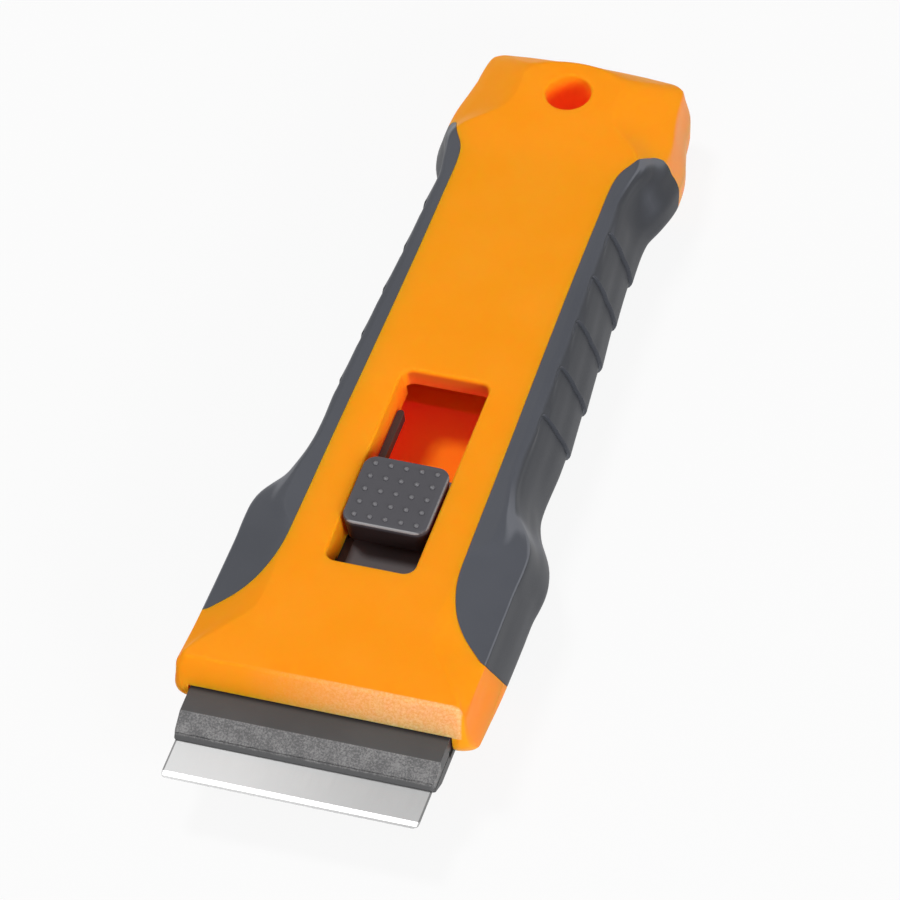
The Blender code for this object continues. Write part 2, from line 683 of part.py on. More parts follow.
def rack_notches():
    """Notches for the latch in the racks: blade change, working and parked."""
    notches = []
    inner = FLANGE_WIDTH / 2
    outer = inner + SLIDE_GAP + RACK_WIDTH
    half_length = LATCH_TOOTH_LENGTH / 2 + SLIDE_GAP
    for name, move in (("change", -TRAVEL_OUT), ("work", 0.0), ("park", TRAVEL_IN)):
        centre_y = BUTTON_Y + move
        y_range = (centre_y - half_length, centre_y + half_length)
        z_range = (depth_z(RACK_DEPTH + SLIDE_GAP), depth_z(RACK_DEPTH - NOTCH_DEPTH))
        notches += side_pair_boxes("notch_" + name, inner, outer, y_range, z_range)
    return notches


def hang_hole():
    return column("hang_hole_bore", (0.0, HOLE_Y), HANG_HOLE_RADIUS, (-OVERRUN, BODY_DEPTH + OVERRUN), 32)


def make_upper_shell(material, pockets, hole):
    """Face shell: lip over the clamp, slot for the button, rails and racks for the slide."""
    shell = new_object("upper_shell", body_mesh("upper_shell", even_stations(PAD_PITCH / 2)), material)
    wide = HEAD_HALF_WIDTH + 2 * OVERRUN
    long = BODY_LENGTH / 2 + 2 * OVERRUN
    half = cutter("upper_half", box_mesh("upper_half", (-wide, wide), (-long, long),
                                         (PARTING_Z + SEAM_GAP / 2, BODY_DEPTH + OVERRUN)))
    shape_with(shell, 'INTERSECT', half)
    slot_outline = rounded_rectangle((SLOT_FRONT_Y + SLOT_REAR_Y) / 2, SLOT_WIDTH, SLOT_LENGTH,
                                     SLOT_CORNER_RADIUS)
    slot = cutter("slot", prism_mesh("slot", slot_outline, (PARTING_Z, BODY_DEPTH + OVERRUN)))
    tools = [hole] + pockets + upper_room() + roof_pockets() + [slot] + rack_notches()
    for name, place in screw_places().items():
        tip_z = SHELL_SCREW_RECESS + SHELL_SCREW_LENGTH
        tools.append(column("pilot_" + name, place, SHELL_SCREW_RADIUS + SEAT_GAP,
                            (-OVERRUN, tip_z + 2 * SEAT_GAP), 12))
    for tool in tools:
        shape_with(shell, 'DIFFERENCE', tool)
    return shell


def room_floor_z(y):
    """Height of the lower room's floor, one wall above the back and its ramp."""
    return BODY_DEPTH - body_depth_at(y) + FLOOR_WALL


def lower_room():
    """Hollow of the lower shell with a runway, jaw ribs and screw bosses left standing."""
    head_half = CLAMP_WIDTH / 2 - ROOM_SIDE_WALL
    outline = room_outline(head_half, MOUTH_Y + 3 * LIP_THICKNESS)
    fine = []
    for first, second in zip(outline, outline[1:]):
        parts = max(1, math.ceil(abs(second.y - first.y) / PAD_PITCH))
        fine += [first.lerp(second, step / parts) for step in range(parts)]
    fine.append(outline[-1])
    room = cutter("room_lower", room_mesh("room_lower", fine, PARTING_Z + OVERRUN))
    runway_half = HANDLE_ROOM_HALF_WIDTH + OVERRUN
    runway_y = (SLOT_FRONT_Y - TRAVEL_OUT - SKID_WIDTH, SLOT_REAR_Y + RUNWAY_PAST_SLOT)
    ribs = [cutter("runway", box_mesh("runway", (-runway_half, runway_half), runway_y,
                                      (-OVERRUN, depth_z(RUNWAY_DEPTH))))]
    jaw_rib_y = (MOUTH_Y, RAIL_FRONT_Y + RIB_THICKNESS)
    rib_faces = (HANDLE_ROOM_HALF_WIDTH + SEAT_GAP, head_half - 1.5 * RIB_THICKNESS)
    for index, inner in enumerate(rib_faces):
        ribs += side_pair_boxes("jaw_rib_%d" % (index + 1), inner, inner + RIB_THICKNESS, jaw_rib_y,
                                (-OVERRUN, PARTING_Z - SEAM_GAP / 2))
    for name, place in screw_places().items():
        ribs.append(column("post_" + name, place, SHELL_BOSS_RADIUS,
                           (-OVERRUN, PARTING_Z - SEAM_GAP / 2)))
    for rib in ribs:
        shape_with(room, 'DIFFERENCE', rib)
    return room


def make_lower_shell(material, pockets, hole):
    """Back shell: flat back, ramp up to the mouth, a runway for the carrier's skids."""
    shell = new_object("lower_shell", body_mesh("lower_shell", even_stations(PAD_PITCH / 2)), material)
    wide = HEAD_HALF_WIDTH + 2 * OVERRUN
    long = BODY_LENGTH / 2 + 2 * OVERRUN
    half = cutter("lower_half", box_mesh("lower_half", (-wide, wide), (-long, long),
                                         (-OVERRUN, PARTING_Z - SEAM_GAP / 2)))
    shape_with(shell, 'INTERSECT', half)
    shape_with(shell, 'DIFFERENCE', hole).solver = 'MANIFOLD'
    tools = []
    head_top_z = SHELL_SCREW_RECESS + SHELL_SCREW_HEAD_HEIGHT
    for name, place in screw_places().items():
        tools.append(column("clear_" + name, place, SHELL_SCREW_RADIUS + SEAT_GAP,
                            (-OVERRUN, BODY_DEPTH), 12))
        tools.append(column("counterbore_" + name, place, SHELL_SCREW_HEAD_RADIUS + SEAT_GAP,
                            (-OVERRUN, head_top_z + SEAT_GAP)))
    for tool in tools + [lower_room()] + pockets:
        shape_with(shell, 'DIFFERENCE', tool)
    return shell


def make_screw(name, centre, head, shank, head_at_bottom, material):
    """Pan-head screw: head and shank are (radius, low z, high z)."""
    head_radius, head_low, head_high = head
    shank_radius, shank_low, shank_high = shank
    point = shank_radius / 2
    if head_at_bottom:
        profile = ((0.0, head_low), (head_radius, head_low), (head_radius, head_high),
                   (shank_radius, head_high), (shank_radius, shank_high - point),
                   (point, shank_high), (0.0, shank_high))
    else:
        profile = ((0.0, shank_low), (point, shank_low), (shank_radius, shank_low + point),
                   (shank_radius, head_low), (head_radius, head_low), (head_radius, head_high),
                   (0.0, head_high))
    return new_object(name, turned_mesh(name, profile, centre, 16), material)


def make_shell_screws(material):
    low = SHELL_SCREW_RECESS
    high = low + SHELL_SCREW_HEAD_HEIGHT
    for name, place in screw_places().items():
        make_screw(name, place, (SHELL_SCREW_HEAD_RADIUS, low, high),
                   (SHELL_SCREW_RADIUS, high, low + SHELL_SCREW_LENGTH), True, material)


def clamp_screw_y():
    return CLAMP_REAR_Y - CLAMP_SCREW_FROM_REAR


def spine_half_height():
    return BLADE_THICKNESS / 2 + SHEET_GAP + SPINE_WALL


def channel_half_height():
    return spine_half_height() + SEAT_GAP


def make_upper_jaw(material):
    """Top half of the clamp, with the faceted nose over the blade."""
    top_z = depth_z(CLAMP_TOP_DEPTH)
    sheet_z = BLADE_Z + BLADE_THICKNESS / 2 + SHEET_GAP
    channel_z = BLADE_Z + channel_half_height()
    channel_front_y = SPINE_FRONT_Y - SEAT_GAP
    profile = (
        (CLAMP_REAR_Y, top_z), (CLAMP_FRONT_Y + FACET_LENGTH, top_z), (CLAMP_FRONT_Y, top_z - FACET_DROP),
        (CLAMP_FRONT_Y, sheet_z), (channel_front_y, sheet_z), (channel_front_y, channel_z),
        (CLAMP_REAR_Y, channel_z),
    )
    jaw = new_object("upper_jaw", bar_mesh("upper_jaw", profile, CLAMP_WIDTH / 2), material)
    head_z = top_z - CLAMP_SCREW_HEAD_HEIGHT - SEAT_GAP
    for side in (-1, 1):
        place = (side * CLAMP_SCREW_SPACING / 2, clamp_screw_y())
        tag = "left" if side < 0 else "right"
        shape_with(jaw, 'DIFFERENCE', column("jaw_bore_" + tag, place, CLAMP_SCREW_RADIUS + SEAT_GAP,
                                             (0.0, BODY_DEPTH), 12))
        shape_with(jaw, 'DIFFERENCE', column("jaw_head_" + tag, place, CLAMP_SCREW_HEAD_RADIUS + SEAT_GAP,
                                             (head_z - SEAT_GAP, BODY_DEPTH)))
    return jaw


def make_lower_jaw(material):
    """Under half of the clamp."""
    bottom_z = depth_z(CLAMP_BOTTOM_DEPTH)
    sheet_z = BLADE_Z - BLADE_THICKNESS / 2 - SHEET_GAP
    channel_z = BLADE_Z - channel_half_height()
    channel_front_y = SPINE_FRONT_Y - SEAT_GAP
    nose_y = CLAMP_FRONT_Y + LOWER_SET_BACK
    profile = (
        (CLAMP_REAR_Y, bottom_z), (nose_y + LOWER_FACET_LENGTH, bottom_z), (nose_y, sheet_z - NOSE_HEIGHT),
        (nose_y, sheet_z), (channel_front_y, sheet_z), (channel_front_y, channel_z), (CLAMP_REAR_Y, channel_z),
    )
    jaw = new_object("lower_jaw", bar_mesh("lower_jaw", profile, CLAMP_WIDTH / 2), material)
    for side in (-1, 1):
        tag = "left" if side < 0 else "right"
        shape_with(jaw, 'DIFFERENCE', bpy.data.objects["jaw_bore_" + tag])
    return jaw


def make_blade(blade_material, spine_material):
    """Single-edge razor blade: thin ground sheet in a folded steel back."""
    half = BLADE_THICKNESS / 2
    spine_inner_y = SPINE_REAR_Y - SPINE_WALL
    blade_rear_y = spine_inner_y - SHEET_GAP
    profile = ((EDGE_Y, BLADE_Z), (EDGE_Y + BLADE_BEVEL, BLADE_Z + half), (blade_rear_y, BLADE_Z + half),
               (blade_rear_y, BLADE_Z - half), (EDGE_Y + BLADE_BEVEL, BLADE_Z - half))
    blade = new_object("blade", bar_mesh("blade", profile, BLADE_WIDTH / 2), blade_material)
    outer = spine_half_height()
    inner = outer - SPINE_WALL
    fold = ((SPINE_FRONT_Y, BLADE_Z + inner), (SPINE_FRONT_Y, BLADE_Z + outer),
            (SPINE_REAR_Y - SPINE_WALL / 2, BLADE_Z + outer), (SPINE_REAR_Y, BLADE_Z + inner),
            (SPINE_REAR_Y, BLADE_Z - inner), (SPINE_REAR_Y - SPINE_WALL / 2, BLADE_Z - outer),
            (SPINE_FRONT_Y, BLADE_Z - outer), (SPINE_FRONT_Y, BLADE_Z - inner),
            (spine_inner_y, BLADE_Z - inner), (spine_inner_y, BLADE_Z + inner))
    spine = new_object("blade_spine", bar_mesh("blade_spine", fold, BLADE_WIDTH / 2), spine_material)
    return [blade, spine]


def make_clamp_screws(material):
    top_z = depth_z(CLAMP_TOP_DEPTH) - SEAT_GAP
    screws = []
    for side in (-1, 1):
        place = (side * CLAMP_SCREW_SPACING / 2, clamp_screw_y())
        name = "clamp_screw_left" if side < 0 else "clamp_screw_right"
        head_low = top_z - CLAMP_SCREW_HEAD_HEIGHT
        screws.append(make_screw(name, place, (CLAMP_SCREW_HEAD_RADIUS, head_low, top_z),
                                 (CLAMP_SCREW_RADIUS, depth_z(CLAMP_BOTTOM_DEPTH) + SEAT_GAP, head_low),
                                 False, material))
    return screws


def carrier_rear_y():
    return BUTTON_REAR_Y + TONGUE_REAR_PAST_BUTTON


def flange_top_z():
    return depth_z(RAIL_DEPTH) - SLIDE_GAP


def make_carrier(material):
    """Sled: crossbar in the clamp, tongue under the slot, flanges under the rails, four skids."""
    half_bar = CROSSBAR_THICKNESS / 2
    bar_front_y = SPINE_REAR_Y + SLIDE_GAP
    tongue_front_y = CLAMP_REAR_Y + SLIDE_GAP
    carrier = new_object("blade_carrier", box_mesh("blade_carrier", (-TONGUE_WIDTH / 2, TONGUE_WIDTH / 2),
                                                   (tongue_front_y, carrier_rear_y()),
                                                   (BLADE_Z - half_bar, depth_z(CARRIER_TOP_DEPTH))), material)
    flange_low_z = flange_top_z() - FLANGE_THICKNESS
    flange = cutter("flange", box_mesh("flange", (-FLANGE_WIDTH / 2, FLANGE_WIDTH / 2),
                                       (tongue_front_y + SHEET_GAP, carrier_rear_y() - SHEET_GAP),
                                       (flange_low_z, flange_top_z())))
    crossbar = cutter("crossbar", box_mesh("crossbar", (-CROSSBAR_WIDTH / 2, CROSSBAR_WIDTH / 2),
                                           (bar_front_y, tongue_front_y + CROSSBAR_ROOT),
                                           (BLADE_Z - half_bar + SHEET_GAP / 2, BLADE_Z + half_bar)))
    shape_with(carrier, 'UNION', flange)
    shape_with(carrier, 'UNION', crossbar)
    skid_x = FLANGE_WIDTH / 2 - SKID_WIDTH
    skid_inner = skid_x - SKID_WIDTH
    skid_z = (depth_z(RUNWAY_DEPTH) + SLIDE_GAP, flange_low_z + SHEET_GAP)
    rear_skid_y = carrier_rear_y() - SKID_LENGTH - SHEET_GAP * 2
    for tag, start_y in (("front", SLOT_FRONT_Y), ("rear", rear_skid_y)):
        for skid in side_pair_boxes("skid_" + tag, skid_inner, skid_x, (start_y, start_y + SKID_LENGTH), skid_z):
            shape_with(carrier, 'UNION', skid)
    hole = STEM_WIDTH / 2 + SLIDE_GAP
    stem_way = cutter("stem_way", box_mesh("stem_way", (-hole, hole), (BUTTON_Y - hole, BUTTON_Y + hole),
                                           (0.0, BODY_DEPTH)))
    shape_with(carrier, 'DIFFERENCE', stem_way)
    for tool in leaf_sockets():
        shape_with(carrier, 'DIFFERENCE', tool)
    for tag in ("left", "right"):
        shape_with(carrier, 'DIFFERENCE', bpy.data.objects["jaw_bore_" + tag])
    return carrier


def leaf_x():
    """Inner and outer face of a detent leaf, beside the tongue."""
    inner = TONGUE_WIDTH / 2 + SLIDE_GAP
    return inner, inner + LEAF_WIDTH


def leaf_tang_y():
    front = BUTTON_FRONT_Y + LEAF_BEHIND_FRONT
    return front, front + LEAF_TANG_LENGTH


def leaf_sockets():
    inner, outer = leaf_x()
    front, rear = leaf_tang_y()
    low_z = flange_top_z() - LEAF_TANG_DEPTH - SEAT_GAP
    return side_pair_boxes("leaf_socket", inner - SEAT_GAP, outer + SEAT_GAP,
                           (front - SEAT_GAP, rear + SEAT_GAP), (low_z, BODY_DEPTH))


def make_detent_leaf(side, name, material):
    """Spring leaf on the flange with a rounded free end and a tang in the carrier."""
    inner, outer = leaf_x()
    front, rear = leaf_tang_y()
    end_y = BUTTON_REAR_Y + LEAF_PAST_BUTTON
    low_z = flange_top_z() + SEAT_GAP
    top_z = depth_z(LEAF_TOP_DEPTH)
    radius = LEAF_WIDTH / 2
    centre = Vector(((inner + outer) / 2, end_y - radius))
    outline = [Vector((inner, front)), Vector((outer, front))]
    for step in range(7):
        angle = math.pi * step / 6
        outline.append(centre + Vector((math.cos(angle), math.sin(angle))) * radius)
    outline = [(side * point.x, point.y) for point in outline]
    leaf = new_object(name, prism_mesh(name, outline, (low_z, top_z)), material)
    x_range = sorted((side * (inner + SHEET_GAP), side * (outer - SHEET_GAP)))
    tang = cutter("tang_" + name, box_mesh("tang_" + name, x_range, (front + SHEET_GAP, rear),
                                           (flange_top_z() - LEAF_TANG_DEPTH, low_z + SEAT_GAP)))
    shape_with(leaf, 'UNION', tang)
    return leaf


def inset_outline(outline, distance, centre_y):
    """Outline moved inward by a distance, for the button's rounded edge."""
    half_width = BUTTON_WIDTH / 2
    half_length = BUTTON_LENGTH / 2
    scale_x = (half_width - distance) / half_width
    scale_y = (half_length - distance) / half_length
    return [Vector((point.x * scale_x, centre_y + (point.y - centre_y) * scale_y)) for point in outline]


def make_button(material):
    """Hollow thumb button with a skirt, front and rear walls and a square stem."""
    top_z = BODY_DEPTH + BUTTON_RISE
    plate_z = top_z - BUTTON_PLATE
    outline = rounded_rectangle(BUTTON_Y, BUTTON_WIDTH, BUTTON_LENGTH, BUTTON_CORNER_RADIUS)
    round_rows = ((1.0, 0.0), (0.4, 0.15), (0.1, 0.5), (0.0, 1.0))
    rows = [(inset * BUTTON_EDGE_ROUND, top_z - drop * BUTTON_EDGE_ROUND) for inset, drop in round_rows]
    rows.append((0.0, depth_z(BUTTON_SKIRT_DEPTH)))
    vertices = []
    for inset, z in rows:
        vertices += [(point.x, point.y, z) for point in inset_outline(outline, inset, BUTTON_Y)]
    count = len(outline)
    faces = [tuple(range(count)), tuple(range((len(rows) - 1) * count, len(rows) * count))]
    for row in range(len(rows) - 1):
        for index in range(count):
            after = (index + 1) % count
            base = row * count
            faces.append((base + index, base + after, base + count + after, base + count + index))
    button = new_object("thumb_button", mesh_from("thumb_button", vertices, faces), material)
    wall_half = TONGUE_WIDTH / 2 - SHEET_GAP
    wall_z = (depth_z(BUTTON_WALL_DEPTH), depth_z(BUTTON_SKIRT_DEPTH) + SHEET_GAP)
    front_y = (BUTTON_FRONT_Y + SHEET_GAP / 2, BUTTON_FRONT_Y + BUTTON_WALL)
    rear_y = (BUTTON_REAR_Y - BUTTON_WALL, BUTTON_REAR_Y - SHEET_GAP / 2)
    hollow_outline = rounded_rectangle(BUTTON_Y, BUTTON_WIDTH - 2 * BUTTON_WALL,
                                       BUTTON_LENGTH - 2 * BUTTON_WALL, BUTTON_CORNER_RADIUS / 2, 3)
    hollow = cutter("button_hollow", prism_mesh("button_hollow", hollow_outline, (0.0, plate_z)))
    for tag, y_range in (("front", front_y), ("rear", rear_y)):
        wall = cutter("button_wall_" + tag, box_mesh("button_wall_" + tag, (-wall_half, wall_half),
                                                     y_range, wall_z))
        shape_with(button, 'UNION', wall)
    shape_with(button, 'DIFFERENCE', hollow)
    half = STEM_WIDTH / 2
    stem = cutter("button_stem", box_mesh("button_stem", (-half, half), (BUTTON_Y - half, BUTTON_Y + half),
                                          (latch_z()[0], plate_z + SHEET_GAP)))
    shape_with(button, 'UNION', stem)
    return button


def latch_z():
    top = BLADE_Z - CROSSBAR_THICKNESS / 2 - SLIDE_GAP
    return top - LATCH_THICKNESS, top


def make_latch(material):
    """Latch bar under the carrier; its upturned teeth stand just below the racks."""
    low_z, top_z = latch_z()
    half_length = LATCH_LENGTH / 2
    reach = FLANGE_WIDTH / 2 + SLIDE_GAP + RACK_WIDTH
    latch = new_object("latch_bar", box_mesh("latch_bar", (-reach, reach),
                                             (BUTTON_Y - half_length, BUTTON_Y + half_length),
                                             (low_z, top_z)), material)
    tooth_z = (top_z - SHEET_GAP, depth_z(RACK_DEPTH) - SLIDE_GAP)
    half_tooth = LATCH_TOOTH_LENGTH / 2
    for tooth in side_pair_boxes("latch_tooth", FLANGE_WIDTH / 2 + SLIDE_GAP, reach - SHEET_GAP,
                                 (BUTTON_Y - half_tooth, BUTTON_Y + half_tooth), tooth_z):
        shape_with(latch, 'UNION', tooth)
    hole = STEM_WIDTH / 2 + SEAT_GAP
    way = cutter("latch_way", box_mesh("latch_way", (-hole, hole), (BUTTON_Y - hole, BUTTON_Y + hole),
                                       (low_z - OVERRUN, top_z + OVERRUN)))
    shape_with(latch, 'DIFFERENCE', way)
    return latch


def make_spring(material):
    """Coil that lifts the button: one unbroken wire between the carrier and the button's plate."""
    wire = SPRING_WIRE / 2
    low_z = depth_z(CARRIER_TOP_DEPTH) + wire + SEAT_GAP
    high_z = BODY_DEPTH + BUTTON_RISE - BUTTON_PLATE - wire - SEAT_GAP
    points_per_turn = 14
    count = round(SPRING_TURNS * points_per_turn)
    curve = bpy.data.curves.new("button_spring", 'CURVE')
    curve.dimensions = '3D'
    curve.bevel_depth = wire
    curve.bevel_resolution = 1
    curve.use_fill_caps = True
    spline = curve.splines.new('POLY')
    spline.points.add(count)
    for index, point in enumerate(spline.points):
        share = index / count
        angle = math.tau * SPRING_TURNS * share
        point.co = (SPRING_RADIUS * math.cos(angle), BUTTON_Y + SPRING_RADIUS * math.sin(angle),
                    low_z + (high_z - low_z) * share, 1.0)
    spring = bpy.data.objects.new("button_spring", curve)
    bpy.context.scene.collection.objects.link(spring)
    curve.materials.append(material)
    return spring


def make_axis(name, place, parent=None):
    """Empty that marks a slide's axis and carries what moves along it."""
    axis = bpy.data.objects.new(name, None)
    bpy.context.scene.collection.objects.link(axis)
    axis.location = place
    if parent:
        axis.parent = parent
        axis.location = Vector(place) - parent.location
    return axis


def carry(axis, pieces):
    """Parent pieces to an axis without moving them."""
    bpy.context.view_layer.update()
    for piece in pieces:
        piece.parent = axis
        piece.matrix_parent_inverse = axis.matrix_world.inverted()


def smooth_round_pieces():
    """Shade the visible pieces smooth, with edges kept sharp at real corners."""
    for obj in bpy.context.scene.objects:
        if obj.type == 'MESH' and not obj.hide_render:
            obj.data.shade_smooth()
            obj.data.set_sharp_from_angle(angle=math.radians(30))


def build():
    clear_scene()
    materials = make_materials()
    pockets = [grip_pocket(1, "right"), grip_pocket(-1, "left")]
    hole = hang_hole()
    make_upper_shell(materials["body"], pockets, hole)
    make_lower_shell(materials["body"], pockets, hole)
    make_grip(-1, "grip_left", materials["grip"])
    make_grip(1, "grip_right", materials["grip"])
    make_shell_screws(materials["screw"])
    sliding = [make_upper_jaw(materials["clamp"]), make_lower_jaw(materials["clamp"])]
    sliding += make_blade(materials["blade"], materials["spring"])
    sliding += make_clamp_screws(materials["screw"])
    sliding.append(make_carrier(materials["carrier"]))
    sliding.append(make_detent_leaf(-1, "detent_leaf_left", materials["carrier"]))
    sliding.append(make_detent_leaf(1, "detent_leaf_right", materials["carrier"]))
    pressing = [make_button(materials["button"]), make_latch(materials["carrier"])]
    pressing.append(make_spring(materials["spring"]))
    slide_axis = make_axis("blade_slide_axis", (0.0, BUTTON_Y, BLADE_Z))
    press_axis = make_axis("button_press_axis", (0.0, BUTTON_Y, BODY_DEPTH), slide_axis)
    carry(slide_axis, sliding)
    carry(press_axis, pressing)
    smooth_round_pieces()


build()
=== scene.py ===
# %% [markdown]
# # A hob scraper: moulded handle, soft grips, razor blade on a slide
#
# The exact solids of this scraper come first, as a frame that never moves. Every piece made below
# takes the place of one of those solids, or gives it a better finish. The frame uses metres, with
# the flat back on z = 0, the face up, the blade toward -Y and the hanging hole toward +Y.

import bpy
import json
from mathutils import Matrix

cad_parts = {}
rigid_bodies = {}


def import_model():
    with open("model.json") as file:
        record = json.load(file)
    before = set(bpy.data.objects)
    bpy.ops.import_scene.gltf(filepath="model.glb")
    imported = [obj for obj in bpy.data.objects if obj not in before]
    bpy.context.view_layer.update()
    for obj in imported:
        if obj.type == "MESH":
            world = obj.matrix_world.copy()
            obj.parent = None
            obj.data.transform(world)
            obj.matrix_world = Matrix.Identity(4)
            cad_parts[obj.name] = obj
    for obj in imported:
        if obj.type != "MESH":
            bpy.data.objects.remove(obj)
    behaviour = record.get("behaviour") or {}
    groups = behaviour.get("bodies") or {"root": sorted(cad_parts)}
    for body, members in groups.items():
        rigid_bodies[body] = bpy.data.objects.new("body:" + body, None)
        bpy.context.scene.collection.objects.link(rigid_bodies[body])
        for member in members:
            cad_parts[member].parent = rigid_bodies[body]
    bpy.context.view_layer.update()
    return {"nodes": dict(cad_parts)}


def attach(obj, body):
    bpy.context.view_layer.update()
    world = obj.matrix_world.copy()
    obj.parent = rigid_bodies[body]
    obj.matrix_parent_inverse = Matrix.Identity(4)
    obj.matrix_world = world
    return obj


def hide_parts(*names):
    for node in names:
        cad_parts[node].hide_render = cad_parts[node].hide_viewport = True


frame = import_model()

# %% Helpers used all through the lesson
import json
import math

import bmesh
import bpy
from mathutils import Matrix, Vector

scene = bpy.context.scene


def new_object(name, mesh, material=None):
    obj = bpy.data.objects.new(name, mesh)
    scene.collection.objects.link(obj)
    if material:
        mesh.materials.append(material)
    return obj


def applied(obj):
    """Bakes an object's modifiers into a plain mesh and returns it."""
    depsgraph = bpy.context.evaluated_depsgraph_get()
    mesh = bpy.data.meshes.new_from_object(obj.evaluated_get(depsgraph), depsgraph=depsgraph)
    obj.modifiers.clear()
    obj.data = mesh
    return obj


def fill(tree, node, values):
    """Sets each named input of a node to a value, or links it to a socket."""
    for name, value in values.items():
        if isinstance(value, bpy.types.NodeSocket):
            tree.links.new(value, node.inputs[name])
        else:
            node.inputs[name].default_value = value
    return node


def node_with(tree, kind, values, **settings):
    """A new node with its settings and its inputs filled in."""
    node = tree.nodes.new(kind)
    for name, setting in settings.items():
        setattr(node, name, setting)
    return fill(tree, node, values)


def math_node(tree, operation, *values):
    return node_with(tree, 'ShaderNodeMath', dict(enumerate(values)), operation=operation).outputs[0]


def quarter_turn(step):
    """Angles of a quarter turn, a number of degrees apart."""
    return [math.radians(angle) for angle in range(0, 91, step)]


# %% [markdown]
# ## Camera
#
# The photograph was taken from about a metre away, from above and a little to the right, so lines
# that run along the handle hardly converge. A long lens gives that look. The three unit vectors
# below are the camera's right, up and backward directions, found by fitting a perspective camera
# to the slot, the button, the hole, the clamp and the blade.

# %% Camera
CAMERA_PLACE = Vector((0.29258, -0.66604, 0.83268))
CAMERA_RIGHT = Vector((0.946839, 0.309630, -0.087315))
CAMERA_UP = Vector((-0.181068, 0.737253, 0.650902))
CAMERA_BACK = Vector((0.265913, -0.600490, 0.754124))
LENS_MM = 295.3

camera_data = bpy.data.cameras.new("camera")
camera_data.sensor_width = 36.0
camera_data.lens = LENS_MM
camera_data.clip_start = 0.01
camera_data.clip_end = 20.0
camera = new_object("camera", camera_data)
turn = Matrix((CAMERA_RIGHT, CAMERA_UP, CAMERA_BACK)).transposed()
camera.matrix_world = Matrix.Translation(CAMERA_PLACE) @ turn.to_4x4()
scene.camera = camera
print("camera looks along", [round(value, 3) for value in -CAMERA_BACK])

# %% [markdown]
# ## Floor and light
#
# The product stands on plain white with hardly any shadow. To the camera and to reflections the
# floor is mostly a white glow, and a small part of it is an ordinary pale surface, so a soft shadow
# stays. Everything else sees only the ordinary surface, so the glow adds no light to the scraper.
# The lamp high on the left gives half of the face's light and makes the slot's left wall throw its
# shadow on the floor of the slot. A low one on the right stands in for a reflector: it opens the
# sides and the lip, which face the camera, but can't reach down into the slot. A weak third lamp in
# front keeps the lip and the clamp's facet from going dull.

# %% Floor, background and lamps
FLOOR_GLOW_SHARE = 0.90
FLOOR_BELOW = 0.0002
FLOOR_HALF = 4
AMBIENT_LIGHT = 0.30
WHITE = (1.0, 1.0, 1.0, 1.0)
LAMPS = (
    # name, place, diameter in metres, power in watts
    ("key_lamp", (-0.42, 0.21, 1.00), 0.26, 6.3),
    ("side_lamp", (0.76, -0.53, 0.33), 0.40, 6.5),
    ("front_lamp", (0.10, -0.95, 0.30), 0.40, 1.9),
)


def empty_tree(owner):
    owner.use_nodes = True
    owner.node_tree.nodes.clear()
    return owner.node_tree


def seen_directly(tree):
    """1 for rays from the camera, a reflection or glass, and 0 for light that bounces."""
    path = tree.nodes.new('ShaderNodeLightPath').outputs
    first = math_node(tree, 'MAXIMUM', path["Is Camera Ray"], path["Is Glossy Ray"])
    return math_node(tree, 'MAXIMUM', first, path["Is Transmission Ray"])


def end_with_mix(tree, output_kind, share, first, second):
    """Ends a tree with the first shader where the share is 0 and the second where it is 1."""
    blend = node_with(tree, 'ShaderNodeMixShader', {0: share, 1: first.outputs[0], 2: second.outputs[0]})
    node_with(tree, output_kind, {"Surface": blend.outputs[0]})


floor_material = bpy.data.materials.new("white_floor")
tree = empty_tree(floor_material)
glow_share = math_node(tree, 'MULTIPLY', seen_directly(tree), FLOOR_GLOW_SHARE)
end_with_mix(tree, 'ShaderNodeOutputMaterial', glow_share,
             node_with(tree, 'ShaderNodeBsdfDiffuse', {"Color": (0.66, 0.66, 0.66, 1.0)}),
             node_with(tree, 'ShaderNodeEmission', {"Strength": 1.0}))

floor_mesh = bpy.data.meshes.new("floor")
corners = [(x * FLOOR_HALF, y * FLOOR_HALF, 0) for x, y in ((-1, -1), (1, -1), (1, 1), (-1, 1))]
floor_mesh.from_pydata(corners, [], [(0, 1, 2, 3)])
floor = new_object("floor", floor_mesh, floor_material)
floor.location.z = -FLOOR_BELOW

scene.world = bpy.data.worlds.new("white_room")
tree = empty_tree(scene.world)
end_with_mix(tree, 'ShaderNodeOutputWorld', seen_directly(tree),
             node_with(tree, 'ShaderNodeBackground', {"Color": WHITE, "Strength": AMBIENT_LIGHT}),
             node_with(tree, 'ShaderNodeBackground', {"Color": WHITE}))
scene.view_settings.view_transform = 'Standard'

for name, place, size, power in LAMPS:
    lamp = bpy.data.lights.new(name, 'AREA')
    lamp.shape = 'DISK'
    lamp.size = size
    lamp.energy = power
    lamp_object = new_object(name, lamp)
    lamp_object.location = place
    lamp_object.rotation_euler = (-Vector(place)).to_track_quat('-Z', 'Y').to_euler()
print("floor glow", FLOOR_GLOW_SHARE, "ambient", AMBIENT_LIGHT, "lamps", len(LAMPS))

# %% [markdown]
# ## Shared surface effects
#
# Two effects come back in every finish, so each is a small node group that is built once.
# `moulded_grain` is the fine texture that a spark-eroded mould leaves on plastic, with a slow
# change of tone under it. `edge_wear` finds edges by comparing the true normal with
# one that is rounded over a small radius; on most finishes it marks wear, and on the button it
# carries a painted highlight.

# %% Node groups
def noise_node(tree, coordinates, scale, detail, roughness):
    return node_with(tree, 'ShaderNodeTexNoise', {"Vector": coordinates, "Scale": scale, "Detail": detail,
                                                  "Roughness": roughness}).outputs["Fac"]


def range_node(tree, value, low, high, to_low=0.0, to_high=1.0):
    """Smooth step of a value from one end of a range to the other."""
    ends = {"Value": value, "From Min": low, "From Max": high, "To Min": to_low, "To Max": to_high}
    return node_with(tree, 'ShaderNodeMapRange', ends, interpolation_type='SMOOTHSTEP').outputs["Result"]


